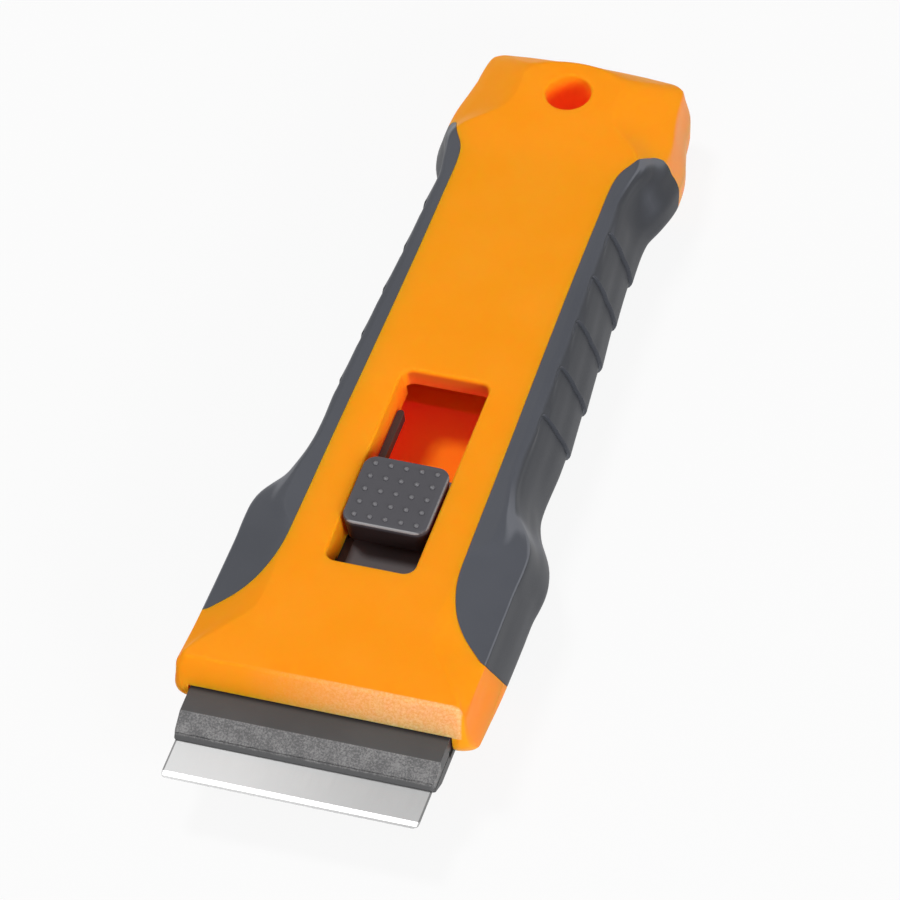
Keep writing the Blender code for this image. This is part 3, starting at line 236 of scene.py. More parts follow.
def shader_group(name, inputs, outputs):
    """An empty shader group of float sockets, with what it is given and what it hands out."""
    group = bpy.data.node_groups.new(name, 'ShaderNodeTree')
    for title, value in inputs.items():
        socket = group.interface.new_socket(title, in_out='INPUT', socket_type='NodeSocketFloat')
        socket.default_value = value
    for title in outputs:
        group.interface.new_socket(title, in_out='OUTPUT', socket_type='NodeSocketFloat')
    return group, group.nodes.new('NodeGroupInput').outputs, group.nodes.new('NodeGroupOutput').inputs


GRAIN, given, result = shader_group("moulded_grain", {"Grain Size": 0.0003, "Patch Size": 0.012},
                                    ("Height", "Patch"))
place = GRAIN.nodes.new('ShaderNodeTexCoord').outputs["Object"]
for size, title, roughness in (("Grain Size", "Height", 0.6), ("Patch Size", "Patch", 0.55)):
    scale = math_node(GRAIN, 'DIVIDE', 1.0, given[size])
    GRAIN.links.new(noise_node(GRAIN, place, scale, 3.0, roughness), result[title])

WEAR_AND_HIGHLIGHT, given, result = shader_group("edge_wear", {"Radius": 0.0003, "Unevenness": 0.5}, ("Mask",))
bevel = node_with(WEAR_AND_HIGHLIGHT, 'ShaderNodeBevel', {"Radius": given["Radius"]}, samples=4)
flat_normal = WEAR_AND_HIGHLIGHT.nodes.new('ShaderNodeNewGeometry').outputs["True Normal"]
alike = node_with(WEAR_AND_HIGHLIGHT, 'ShaderNodeVectorMath', {0: bevel.outputs["Normal"], 1: flat_normal},
                  operation='DOT_PRODUCT')
edge = range_node(WEAR_AND_HIGHLIGHT, alike.outputs["Value"], 0.99, 0.80)
place = WEAR_AND_HIGHLIGHT.nodes.new('ShaderNodeTexCoord').outputs["Object"]
worn = range_node(WEAR_AND_HIGHLIGHT, noise_node(WEAR_AND_HIGHLIGHT, place, 900.0, 4.0, 0.7), 0.35, 0.65)
spared = math_node(WEAR_AND_HIGHLIGHT, 'MULTIPLY', given["Unevenness"], math_node(WEAR_AND_HIGHLIGHT, 'SUBTRACT', 1.0, worn))
WEAR_AND_HIGHLIGHT.links.new(math_node(WEAR_AND_HIGHLIGHT, 'MULTIPLY', edge, math_node(WEAR_AND_HIGHLIGHT, 'SUBTRACT', 1.0, spared)), result["Mask"])
print("node groups:", GRAIN.name, WEAR_AND_HIGHLIGHT.name)

# %% [markdown]
# ## A base for all finishes
#
# Every finish starts from the same recipe: a colour that drifts slowly between two near tones, a
# lighter or darker tone on edges, a roughness that follows the drift, and the fine grain as a bump.
# Each material then paints on what only it shows, through masks that follow the part's axes or the
# direction a surface faces.

# %% Finish recipe
def spaced(values):
    """Keyword names with their underscores turned into the spaces of socket names."""
    return {name.replace("_", " "): value for name, value in values.items()}


def group_node(tree, group, **values):
    return node_with(tree, 'ShaderNodeGroup', spaced(values), node_tree=group)


def mix_colour(tree, share, first, second):
    """First colour where the share is 0, second where it is 1."""
    colours = [(*value, 1.0) if isinstance(value, tuple) else value for value in (first, second)]
    return node_with(tree, 'ShaderNodeMix', {0: share, 6: colours[0], 7: colours[1]},
                     data_type='RGBA').outputs[2]


def grey(value):
    return (value, value, value)


class Finish:
    """One material under construction: its colour, roughness and bump height can still be changed."""

    def __init__(self, name, dark, light, edge, roughness, metallic=0.0, specular=0.5, grain=0.0003,
                 patch=0.012, edge_radius=0.0002, unevenness=0.6, relief=0.00002, smooth_to=0.08):
        self.material = bpy.data.materials.new(name)
        self.material.use_nodes = True
        self.tree = self.material.node_tree
        self.set(Metallic=metallic, Specular_IOR_Level=specular)
        self.relief = relief
        grain_node = group_node(self.tree, GRAIN, Grain_Size=grain, Patch_Size=patch)
        edge_tone_node = group_node(self.tree, WEAR_AND_HIGHLIGHT, Radius=edge_radius, Unevenness=unevenness)
        self.height = grain_node.outputs["Height"]
        patch_tone = grain_node.outputs["Patch"]
        self.place = self.tree.nodes.new('ShaderNodeTexCoord').outputs["Object"]
        self.colour = mix_colour(self.tree, self.ramp(patch_tone, 0.3, 0.7), dark, light)
        self.paint(edge_tone_node.outputs["Mask"], edge)
        self.roughness = self.ramp(patch_tone, 0.25, 0.75, roughness, roughness - smooth_to)

    def set(self, **values):
        fill(self.tree, self.tree.nodes["Principled BSDF"], spaced(values))

    def math(self, operation, first, *others):
        """One operation chained over two or more values."""
        for other in others:
            first = math_node(self.tree, operation, first, other)
        return first

    def product(self, *masks):
        return self.math('MULTIPLY', *masks)

    def highest(self, *masks):
        return self.math('MAXIMUM', *masks)

    def axis(self, name, vector=None):
        """The part's coordinate on an axis, or that share of another vector."""
        return node_with(self.tree, 'ShaderNodeSeparateXYZ', {0: vector or self.place}).outputs[name]

    def facing(self, name):
        """How far the surface faces along an axis."""
        return self.axis(name, self.tree.nodes.new('ShaderNodeNewGeometry').outputs["Normal"])

    def away(self, value, middle=0.0):
        """Distance from a middle place, over a socket or an axis."""
        value = self.axis(value) if isinstance(value, str) else value
        return math_node(self.tree, 'ABSOLUTE', self.math('SUBTRACT', value, middle))

    def ramp(self, value, low, high, to_low=0.0, to_high=1.0):
        """Mask that changes smoothly between two places of a socket or an axis."""
        value = self.axis(value) if isinstance(value, str) else value
        return range_node(self.tree, value, low, high, to_low, to_high)

    def noise(self, scale, detail, roughness):
        return noise_node(self.tree, self.place, scale, detail, roughness)

    def swing(self, value, size):
        """Turns a noise around 0.5 into a swing around 0."""
        return self.product(self.math('SUBTRACT', value, 0.5), size)

    def paint(self, mask, colour):
        self.colour = mix_colour(self.tree, mask, self.colour, colour)

    def done(self):
        bump = node_with(self.tree, 'ShaderNodeBump',
                         {"Strength": 0.6, "Distance": self.relief, "Height": self.height})
        self.set(Base_Color=self.colour, Roughness=self.roughness, Normal=bump.outputs["Normal"])
        print("finish:", self.material.name)
        return self.material


# %% [markdown]
# ## Orange shells
#
# The handle is orange ABS with a very fine texture. The sloped lip over the clamp is frosted: there
# the mould was left rougher, and its colour is painted paler with fine glints, a painted reflection
# of the front light. Bands over the length, the height and the width mark the lip, and this painted
# reflection fades toward the left. The outer side walls get a painted pale sheen at the rear and a
# painted redder shade at the head. Light also passes through this plastic and turns red on its way;
# for that the walls of the slot and of the hole get a painted redder shade and a faint painted red
# glow, and the slot's rear wall a painted darker shade.

# %% Orange ABS
MOUTH_Y = -0.06345
FACE_Z = 0.0165
SLOT_FRONT_Y = MOUTH_Y + 0.0234
SLOT_LENGTH = 0.0376
SLOT_REAR_Y = SLOT_FRONT_Y + SLOT_LENGTH
SLOT_MIDDLE_Y = (SLOT_FRONT_Y + SLOT_REAR_Y) / 2
HOLE_Y = 0.05685
LIP_REAR_Y = MOUTH_Y + 0.0017
LIP_LOW_Z = FACE_Z - 0.00515
LIP_HALF_WIDTH = 0.0215
LIP_BLUR = 0.00015

orange = Finish("orange_abs", (0.990, 0.306, 0.008), (1.0, 0.318, 0.012), (1.0, 0.34, 0.03), 0.42,
                specular=0.02, grain=0.00022, relief=0.000010)
orange.set(Subsurface_Weight=0.60, Subsurface_Radius=(1.0, 0.16, 0.04), Subsurface_Scale=0.0040)
# Painted reflection on the frosted lip: paler, with painted glints, fading toward the left.
lip_frost_and_sheen = orange.product(orange.ramp("Y", LIP_REAR_Y + LIP_BLUR, LIP_REAR_Y - LIP_BLUR),
                     orange.ramp("Z", LIP_LOW_Z - LIP_BLUR, LIP_LOW_Z + LIP_BLUR),
                     orange.ramp("X", LIP_HALF_WIDTH + 0.0002, LIP_HALF_WIDTH - 0.0002),
                     orange.ramp("X", -0.0130, 0.0140))
painted_glints = orange.ramp(orange.noise(2600.0, 2.0, 0.8), 0.35, 0.7)
orange.paint(lip_frost_and_sheen, mix_colour(orange.tree, painted_glints, (0.90, 0.39, 0.12), (0.98, 0.53, 0.25)))
orange.roughness = orange.math('ADD', orange.roughness, orange.product(lip_frost_and_sheen, 0.18))

# Painted pale sheen on the upright side walls at the rear, painted redder shade on them at the head.
upright = orange.ramp(orange.away(orange.facing("X")), 0.70, 0.92)
half_x = orange.away("X")
side_wall_sheen = orange.product(upright, orange.ramp(half_x, 0.0125, 0.0135),
                           orange.ramp("Y", 0.0, 0.03, 0.04, 0.55))
head_wall_shade = orange.product(upright, orange.ramp("Y", -0.020, -0.035, 0.0, 0.75),
                           orange.ramp(half_x, 0.0165, 0.0175))
orange.paint(side_wall_sheen, (1.0, 0.33, 0.16))
orange.paint(head_wall_shade, (0.98, 0.225, 0.030))

in_slot = orange.product(orange.ramp(half_x, 0.0112, 0.0108),
                         orange.ramp(orange.away("Y", SLOT_MIDDLE_Y), 0.0230, 0.0222))
hole_y = orange.away("Y", HOLE_Y)
squares = orange.math('ADD', orange.product(half_x, half_x), orange.product(hole_y, hole_y))
in_hole = orange.ramp(math_node(orange.tree, 'SQRT', squares), 0.0042, 0.0039)
# Painted redder shade on the walls and floor of the slot and the hole.
recess = orange.product(orange.highest(in_slot, in_hole),
                        orange.ramp("Z", FACE_Z - 0.0005, FACE_Z - 0.0030))
orange.paint(recess, (1.0, 0.25, 0.006))
behind_button = orange.product(recess, orange.ramp("Y", -0.0310, -0.0290))
# A faint painted red glow in the slot behind the button and in the hole.
glow = mix_colour(orange.tree, behind_button, (0.0, 0.0, 0.0), (0.15, 0.002, 0.003))
glow = mix_colour(orange.tree, orange.product(recess, in_hole), glow, (0.11, 0.008, 0.003))
orange.set(Emission_Color=glow, Emission_Strength=1.0)
# Painted darker shade on the slot's rear wall, near its top.
rear_wall_shade = orange.product(orange.ramp(orange.facing("Y"), -0.6, -0.9),
                           orange.ramp("Z", FACE_Z - 0.0002, FACE_Z - 0.0010), in_slot)
orange.paint(rear_wall_shade, (0.60, 0.11, 0.012))
ORANGE = orange.done()

# %% [markdown]
# ## Grips, nylon and metal
#
# The grips are soft grey rubber-like plastic, so their sheen is low and their grain shows; their
# sides get a painted darker shade than their tops, and the folds between the two, at the head and
# at the rear knob, get a painted highlight. The clamp is coated metal: smooth on top, with a mottled
# front facet whose speckled texture is painted lighter as a reflection of the front light, and a
# plain band along its lower edge. The blade is ground steel, with fine scratches toward its edge and
# a painted reflection that darkens it toward the right; its bevel is painted brighter, partly for its
# ground finish and partly as a painted reflection, and it is darker in a thin line along its edge and
# its ends. Nylon and screws are plainer, but they too drift in tone and wear on their edges; on the
# button the bright edge tone, its front and right top edges and the tops of its dots are painted
# highlights, and it has painted shade below the face.

# %% Soft grip
grip = Finish("grey_soft_grip", (0.062, 0.066, 0.078), (0.071, 0.075, 0.088), (0.095, 0.10, 0.115), 0.50,
              specular=0.16, grain=0.00030, patch=0.02, edge_radius=0.00025, relief=0.000022, smooth_to=0.06)
tilt = grip.away(grip.facing("X"))
# Painted highlight on the folds between top and side, at the head and at the knob.
fold_highlight = grip.product(grip.ramp(tilt, 0.46, 0.58), grip.ramp(tilt, 0.88, 0.76),
                    grip.highest(grip.ramp("Y", -0.018, -0.026), grip.ramp("Y", 0.038, 0.044)))
grip.paint(fold_highlight, (0.125, 0.130, 0.147))
# Painted darker shade on the grips' sides.
grip.paint(grip.ramp(tilt, 0.78, 0.94, 0.0, 0.95), (0.033, 0.035, 0.041))
GRIP = grip.done()

# %% Clamp coating
CLAMP_FRONT_Y = -0.07165
CLAMP_TOP_Z = 0.01105
FACET_REAR_Y = CLAMP_FRONT_Y + 0.0036
BAND_Y = CLAMP_FRONT_Y + 0.00035

clamp = Finish("clamp_coating", (0.040, 0.041, 0.042), (0.048, 0.049, 0.050), grey(0.24), 0.50,
               specular=0.25, grain=0.00018, relief=0.00001, edge_radius=0.00012, unevenness=0.7)
# Front facet: a real speckled texture, painted lighter as a reflection of the front light.
facet_texture_and_sheen = clamp.product(clamp.ramp("Y", FACET_REAR_Y + 0.0001, FACET_REAR_Y),
                      clamp.ramp("Y", BAND_Y - 0.0001, BAND_Y + 0.00015),
                      clamp.ramp("Z", CLAMP_TOP_Z - 0.0021, CLAMP_TOP_Z - 0.0019))
mottle = clamp.math('ADD', clamp.noise(3600.0, 2.0, 0.75), clamp.swing(clamp.noise(420.0, 3.0, 0.6), 0.5))
speckle = clamp.ramp(mottle, 0.36, 0.72)
clamp.paint(clamp.ramp("Y", BAND_Y + 0.0001, BAND_Y - 0.0001), (0.078, 0.078, 0.080))
clamp.paint(facet_texture_and_sheen, mix_colour(clamp.tree, speckle, (0.100, 0.099, 0.101), (0.225, 0.222, 0.222)))
clamp.height = clamp.math('ADD', clamp.height, clamp.product(facet_texture_and_sheen, speckle))
CLAMP = clamp.done()

# %% Blade steel
EDGE_Y = -0.07849
BLADE_BEVEL = 0.0012
BEVEL_Y = EDGE_Y + BLADE_BEVEL

steel = Finish("ground_blade_steel", grey(0.355), grey(0.375), grey(0.25), 0.36, metallic=0.85,
               grain=0.0006, patch=0.03, relief=0.000004, smooth_to=0.05)
stretch = node_with(steel.tree, 'ShaderNodeMapping', {"Scale": (6.0, 0.15, 1.0), "Vector": steel.place})
scratches = noise_node(steel.tree, stretch.outputs["Vector"], 1400.0, 3.0, 0.6)
# Painted reflection: the blade darkens toward the right.
steel.paint(steel.ramp("X", -0.012, 0.016), grey(0.295))
# Bevel painted brighter: partly its ground finish, partly a painted reflection.
steel.paint(steel.ramp("Y", BEVEL_Y + 0.00005, BEVEL_Y - 0.00005), grey(0.44))
# A darker thin line along the very edge and along both ends.
dark_edge_line = steel.ramp("Y", EDGE_Y + 0.00046, EDGE_Y + 0.00034)
steel.paint(steel.highest(dark_edge_line, steel.ramp(steel.away("X"), 0.0192, 0.0193)), grey(0.13))
steel.roughness = steel.math('ADD', steel.roughness, steel.swing(scratches, 0.12))
steel.height = scratches
BLADE = steel.done()

# %% Nylon, spring steel and zinc
BUTTON_Y = -0.02675
BUTTON_LENGTH = 0.0130
BUTTON_FRONT_Y = BUTTON_Y - BUTTON_LENGTH / 2

NYLON = Finish("dark_nylon", (0.046, 0.036, 0.038), (0.060, 0.048, 0.050), (0.10, 0.085, 0.085), 0.50,
               grain=0.00025, relief=0.000012).done()
# The button's bright edge tone is a painted highlight along its rounded top edge.
nylon = Finish("grey_button_nylon", (0.047, 0.045, 0.053), (0.057, 0.055, 0.064), (0.62, 0.60, 0.62), 0.44,
               specular=0.28, grain=0.00020, relief=0.000014, edge_radius=0.00026, unevenness=0.35)
# Painted shade on the button below the face, down in the slot.
nylon.paint(nylon.ramp("Z", FACE_Z + 0.0002, FACE_Z - 0.0003), (0.016, 0.010, 0.010))
# Painted highlight along the button's front and right top edges.
rim_highlight = nylon.highest(nylon.ramp("Y", BUTTON_FRONT_Y + 0.00035, BUTTON_FRONT_Y + 0.00020),
                    nylon.ramp("X", 0.00630, 0.00645, 0.0, 0.55))
nylon.paint(nylon.product(rim_highlight, nylon.ramp("Z", FACE_Z + 0.00036, FACE_Z + 0.00046)),
            (0.27, 0.265, 0.27))
among_dots = nylon.product(nylon.ramp(nylon.away("X"), 0.0058, 0.0056),
                           nylon.ramp(nylon.away("Y", BUTTON_Y), 0.0059, 0.0057),
                           nylon.ramp("Z", FACE_Z + 0.0005, FACE_Z + 0.0006))
# Painted highlight on the tops of the dots.
dot_top_highlight = nylon.ramp("Z", FACE_Z + 0.00072, FACE_Z + 0.00090)
nylon.paint(among_dots, mix_colour(nylon.tree, dot_top_highlight, (0.051, 0.049, 0.057), (0.135, 0.132, 0.142)))
BUTTON = nylon.done()
SPRING = Finish("spring_steel", (0.40, 0.40, 0.41), grey(0.48), grey(0.60), 0.36, metallic=1.0,
                grain=0.0004, relief=0.000004).done()
ZINC = Finish("zinc_plate", (0.52, 0.52, 0.53), (0.62, 0.62, 0.63), grey(0.75), 0.38, metallic=1.0,
              grain=0.0003, relief=0.000006).done()

# %% [markdown]
# ## The form of the handle
#
# One rule describes the whole outside: an outline seen from above, and how far the side stands out
# at each depth below the face. Tables give both at a few places and a smooth curve joins the rows,
# so the same rule makes a coarse solid or, as here, a fine one. The shells and both grips are all
# cut from it, which is why they meet without a step.

# %% Tables of the handle
BODY_LENGTH = 0.1269
REAR_Y = BODY_LENGTH / 2
MOUTH_DEPTH = 0.0113
HEAD_HALF_WIDTH = 0.0206
HANDLE_HALF_WIDTH = 0.0140
KNOB_HALF_WIDTH = 0.0160
SIDE_SWELL = 0.0010
SIDE_SLANT = 0.0065
REAR_SAG = 0.0022

HEAD_WIDTHS = (
    (0.00, 1.00), (0.10, 1.00), (0.184, 1.00), (0.235, 0.96), (0.263, 0.83), (0.303, 0.46),
    (0.342, 0.27), (0.42, 0.20), (0.50, 0.15), (0.58, 0.10), (0.66, 0.03), (0.74, 0.00), (1.00, 0.00),
)
KNOB_WIDTHS = (
    (0.00, 0.00), (0.73, 0.00), (0.783, 0.02), (0.815, 0.48), (0.846, 0.93), (0.878, 0.92),
    (0.925, 0.70), (0.972, 0.50), (1.00, 0.42),
)
LEVELS = (0.0, 0.03, 0.073, 0.12, 0.16, 0.21, 0.32, 0.41, 0.61, 0.78, 0.91, 1.0)
SECTIONS = (
    (0.02, (0.2, 0.5, 0.8, 1.15, 1.4, 1.5, 1.6, 1.75, 2.2, 2.4, 1.7, -0.5)),
    (0.06, (-3.6, -2.5, -1.2, 0.4, 1.15, 1.2, 1.4, 1.5, 2.0, 2.2, 1.5, -0.7)),
    (0.10, (-7.0, -5.4, -3.3, -0.9, 1.05, 1.15, 1.3, 1.5, 1.9, 2.1, 1.4, -0.8)),
    (0.20, (-6.9, -5.2, -3.1, -0.8, 0.9, 1.0, 1.2, 1.4, 1.7, 1.7, 1.1, -1.0)),
    (0.235, (-6.2, -4.6, -2.5, -0.4, 1.15, 1.3, 1.4, 1.5, 1.7, 1.7, 1.1, -0.8)),
    (0.27, (-3.2, -2.0, -0.8, 0.6, 1.5, 1.6, 1.7, 1.8, 2.1, 2.2, 1.6, -0.2)),
    (0.31, (-0.6, -0.1, 0.4, 0.7, 0.9, 1.1, 1.4, 1.5, 2.1, 2.2, 1.6, -0.1)),
    (0.37, (-0.5, 0.0, 0.4, 0.6, 0.8, 1.0, 1.35, 1.5, 1.7, 1.75, 1.1, -0.8)),
    (0.45, (-0.5, 0.0, 0.4, 0.6, 0.8, 1.0, 1.4, 1.6, 2.2, 2.3, 1.4, -0.6)),
    (0.77, (-0.5, 0.0, 0.4, 0.6, 0.8, 1.0, 1.4, 1.6, 2.2, 2.3, 1.4, -0.6)),
    (0.83, (-0.7, -0.4, -0.1, 0.0, 0.1, 0.2, 0.7, 1.3, 2.5, 2.7, 1.8, -0.3)),
    (0.865, (-1.6, -1.0, -0.3, 0.2, 0.5, 0.8, 1.6, 2.1, 3.1, 3.1, 2.2, 0.0)),
    (0.92, (-7.0, -5.7, -4.1, -2.6, -1.4, 0.0, 1.9, 2.3, 3.2, 3.0, 2.0, 0.0)),
    (0.97, (-7.0, -5.8, -4.4, -3.0, -1.9, -0.6, 1.1, 1.2, 1.8, 1.7, 1.0, -0.6)),
)
MOUTH_SECTION = (-1.3, -1.1, -0.9, -0.7, -0.55, -0.35, -0.05, 0.1, 0.3, -0.6, -1.6, -2.4)
END_SECTION = (-0.4, 0.0, 0.55, 1.15, 1.7, 2.35, 3.75, 3.85, 3.5, 2.8, 2.0, 0.0)
RAMP = ((0.0, 0.0), (0.32, 0.50), (0.6, 0.82), (0.85, 0.97), (1.0, 1.0))
RAMP_LENGTH = 0.0290


def joined(first, second, place, slope1, slope2):
    """Smooth value between two (place, value) points that are left and reached with given slopes."""
    (x1, y1), (x2, y2) = first, second
    span = x2 - x1
    t = (place - x1) / span
    rest = 1 - t
    return (y1 * (1 + 2 * t) * rest * rest + y2 * (3 - 2 * t) * t * t
            + slope1 * span * t * rest * rest - slope2 * span * t * t * rest)


def between(table, place):
    """Smooth value at a place in a table of (place, value) rows."""
    if place <= table[0][0]:
        return table[0][1]
    if place >= table[-1][0]:
        return table[-1][1]
    index = max(i for i in range(len(table) - 1) if table[i][0] <= place)
    (x1, y1), (x2, y2) = table[index], table[index + 1]
    x0, y0 = table[index - 1] if index else (x1, y1)
    x3, y3 = table[index + 2] if index + 2 < len(table) else (x2, y2)
    return joined((x1, y1), (x2, y2), place, (y2 - y0) / (x2 - x0), (y3 - y1) / (x3 - x1))


def folded(table, place):
    """Like the smooth value, but a fold between a steep and a flat stretch stays crisp."""
    index = max(i for i in range(len(table) - 1) if table[i][0] <= place or i == 0)
    rises = [(y2 - y1) / (x2 - x1) for (x1, y1), (x2, y2) in zip(table, table[1:])]

    def slope(row):
        if row in (0, len(rises)):
            return rises[min(row, len(rises) - 1)]
        before, after = rises[row - 1], rises[row]
        return 0.0 if before * after <= 0 else 2 * before * after / (before + after)

    return joined(table[index], table[index + 1], place, slope(index), slope(index + 1))


def eased(value, low, high):
    """Smooth step from 0 at the low end to 1 at the high end."""
    t = min(1.0, max(0.0, (value - low) / (high - low)))
    return t * t * (3 - 2 * t)


def half_width(y, level):
    """Half of the handle's width at a length, on the depth level; deeper levels lag behind."""
    share = (y - SIDE_SLANT * level - MOUTH_Y) / BODY_LENGTH
    return (HANDLE_HALF_WIDTH + (HEAD_HALF_WIDTH - HANDLE_HALF_WIDTH) * between(HEAD_WIDTHS, share)
            + (KNOB_HALF_WIDTH - HANDLE_HALF_WIDTH) * between(KNOB_WIDTHS, share))


def body_depth(y):
    """Distance from the face to the back, which ramps up toward the mouth."""
    return MOUTH_DEPTH + (FACE_Z - MOUTH_DEPTH) * between(RAMP, (y - MOUTH_Y) / RAMP_LENGTH)


print("handle: length %.1f mm, depth %.1f mm" % (BODY_LENGTH * 1000, FACE_Z * 1000))

# %% Rings of the handle
EDGE_ROUND = 0.00035
FRONT_CORNER = 0.0012
FRONT_DEEP_CORNER = 0.0028
REAR_CORNER = 0.0030
REAR_DEEP_SAG = 0.0008
FRONT_ZONE = 0.0050
REAR_ZONE = 0.0100
CORNER_REST = 0.0006
REAR_SHARES = (0.6, 0.45, 0.3, 0.15, 0.05)


def fillet(corner, before, after, radius, steps):
    """Points of an arc that rounds the corner between two directions."""
    to_before = (before - corner).normalized()
    to_after = (after - corner).normalized()
    half_angle = to_before.angle(to_after) / 2
    start = corner + to_before * (radius / math.tan(half_angle))
    end = corner + to_after * (radius / math.tan(half_angle))
    centre = corner + (to_before + to_after).normalized() * (radius / math.sin(half_angle))
    turn = (start - centre).angle_signed(end - centre)
    return [centre + Matrix.Rotation(-turn * step / steps, 2) @ (start - centre) for step in range(steps + 1)]


def half_outline(level, stations):
    """Right half of the outline at a depth level, from the mouth to the rear end."""
    corner = Vector((half_width(MOUTH_Y, level), MOUTH_Y))
    front = FRONT_CORNER + (FRONT_DEEP_CORNER - FRONT_CORNER) * eased(level, 0.4, 0.8)
    points = fillet(corner, Vector((0, MOUTH_Y)), corner + Vector((0, 1)), front, 8)
    sag = REAR_SAG + (REAR_DEEP_SAG - REAR_SAG) * min(1.0, level / 0.3)
    rear_y = REAR_Y - sag
    side_end = REAR_Y - REAR_SAG - 1.2 * REAR_CORNER
    first = MOUTH_Y + FRONT_DEEP_CORNER + CORNER_REST
    points += [Vector((half_width(y, level), y)) for y in stations(level) if first < y < side_end]
    rear = Vector((half_width(rear_y, level), rear_y))
    points += fillet(rear, Vector((half_width(side_end, level), side_end)),
                     Vector((rear.x / 2, REAR_Y - sag / 4)), REAR_CORNER, 10)
    for share in REAR_SHARES:
        points.append(Vector((rear.x * share, REAR_Y - sag * share * share)))
    return points


def outward(points):
    """Outward direction at each point of a half outline."""
    normals = []
    for index, point in enumerate(points):
        before = points[index - 1] if index else Vector((0, point.y))
        after = points[index + 1] if index + 1 < len(points) else Vector((0, REAR_Y))
        run = (after - before).normalized()
        normals.append(Vector((run.y, -run.x)))
    return normals


def edge_inset(depth, total):
    """How far a rounded edge stands back at a depth below the face or above the back."""
    near = min(depth, total - depth)
    if near >= EDGE_ROUND:
        return 0.0
    return EDGE_ROUND - math.sqrt(max(0.0, 2 * EDGE_ROUND * near - near * near))


def body_ring(level, stations, inset=None, extra=None):
    """Right half of the body's ring at a depth level, in space."""
    outline = half_outline(level, stations)
    rows = [(place, folded(tuple(zip(LEVELS, shares)), level)) for place, shares in SECTIONS]
    mouth = folded(tuple(zip(LEVELS, MOUTH_SECTION)), level)
    end = folded(tuple(zip(LEVELS, END_SECTION)), level)
    ring = []
    for point, normal in zip(outline, outward(outline)):
        ends = mouth if normal.y < 0 and point.y < 0 else end
        side = between(rows, (point.y - MOUTH_Y) / BODY_LENGTH)
        total = body_depth(point.y)
        depth = level * total
        sideways, endways = side * normal.x, side * normal.y
        at_rear, at_mouth = point.y > REAR_Y - REAR_ZONE, point.y < MOUTH_Y + FRONT_ZONE
        if at_rear or at_mouth:
            sideways = side * min(1.0, point.x / half_width(point.y, level))
        if at_rear:
            endways = ends * eased(normal.y, 0.0, 0.7)
        elif at_mouth:
            endways = -ends * (1 - (point.y - MOUTH_Y) / FRONT_ZONE)
        shift = Vector((sideways, endways)) * SIDE_SWELL
        move = -edge_inset(depth, total)
        if extra:
            move += extra(point.y, depth) * normal.x ** 2
        height = FACE_Z - depth
        if inset:
            thickness = inset(point.y)
            move -= thickness
            height = max(min(height, FACE_Z - thickness), FACE_Z - total + thickness)
        x, y = point.x + shift.x + normal.x * move, point.y + shift.y + normal.y * move
        ring.append(Vector((x, y, height)))
    return ring


print("edge rounding %.2f mm" % (EDGE_ROUND * 1000))

# %% From rings to closed meshes
MERGE_DISTANCE = 0.000001


def mesh_from(name, vertices, faces, whole=False):
    """Closed mesh with its faces turned outward, in triangles unless they are left whole."""
    mesh = bpy.data.meshes.new(name)
    mesh.from_pydata([tuple(vertex) for vertex in vertices], [], faces)
    bm = bmesh.new()
    bm.from_mesh(mesh)
    if not whole:
        bmesh.ops.remove_doubles(bm, verts=bm.verts, dist=MERGE_DISTANCE)
        bmesh.ops.triangulate(bm, faces=bm.faces)
    bmesh.ops.recalc_face_normals(bm, faces=bm.faces)
    bm.to_mesh(mesh)
    bm.free()
    return mesh


def tube_mesh(name, rings, whole=False):
    """Closed mesh through rings of equally many points, with one face on each end."""
    count = len(rings[0])
    last = (len(rings) - 1) * count
    faces = [tuple(range(count)), tuple(range(last, last + count))]
    for base in range(0, last, count):
        for index in range(count):
            after = (index + 1) % count
            faces.append((base + index, base + after, base + count + after, base + count + index))
    return mesh_from(name, [point for ring in rings for point in ring], faces, whole)


def stack_mesh(name, levels):
    """Closed mesh through levels of (left, right) point pairs; an end that is flat gets one face."""
    count = len(levels[0])
    stride = 2 * count
    vertices = [pair[side] for pairs in levels for side in (0, 1) for pair in pairs]
    loop = list(range(count, stride)) + list(range(count - 1, -1, -1))
    faces = []
    for level in range(len(levels) - 1):
        base = level * stride
        for index, here in enumerate(loop):
            there = loop[(index + 1) % stride]
            faces.append((base + here, base + there, base + stride + there, base + stride + here))
    for base in (0, (len(levels) - 1) * stride):
        heights = [vertices[base + here].z for here in loop]
        if max(heights) - min(heights) < MERGE_DISTANCE:
            faces.append(tuple(base + here for here in loop))
            continue
        for index in range(count - 1):
            here, there = base + index, base + count + index
            faces.append((here, here + 1, there + 1, there))
    return mesh_from(name, vertices, faces)


def mirrored(ring):
    """Pairs each point of a right half with its mirror image on the left."""
    return [(Vector((-point.x, point.y, point.z)), point) for point in ring]


def even_stations(step):
    """Evenly spaced lengths, the same on every depth level."""
    count = math.ceil(BODY_LENGTH / step)
    places = [MOUTH_Y + BODY_LENGTH * index / count for index in range(1, count)]
    return lambda level: places


def between_edges(middle):
    """Depth levels, close together on the rounded edges of the face and the back."""
    edge = [EDGE_ROUND / FACE_Z * (1 - math.cos(turn)) for turn in quarter_turn(18)]
    return edge + middle + [1 - share for share in reversed(edge)]


def box_mesh(name, x_range, y_range, z_range):
    vertices = [(x, y, z) for x in x_range for y in y_range for z in z_range]
    faces = [(0, 1, 3, 2), (4, 6, 7, 5), (0, 4, 5, 1), (2, 3, 7, 6), (0, 2, 6, 4), (1, 5, 7, 3)]
    return mesh_from(name, vertices, faces)


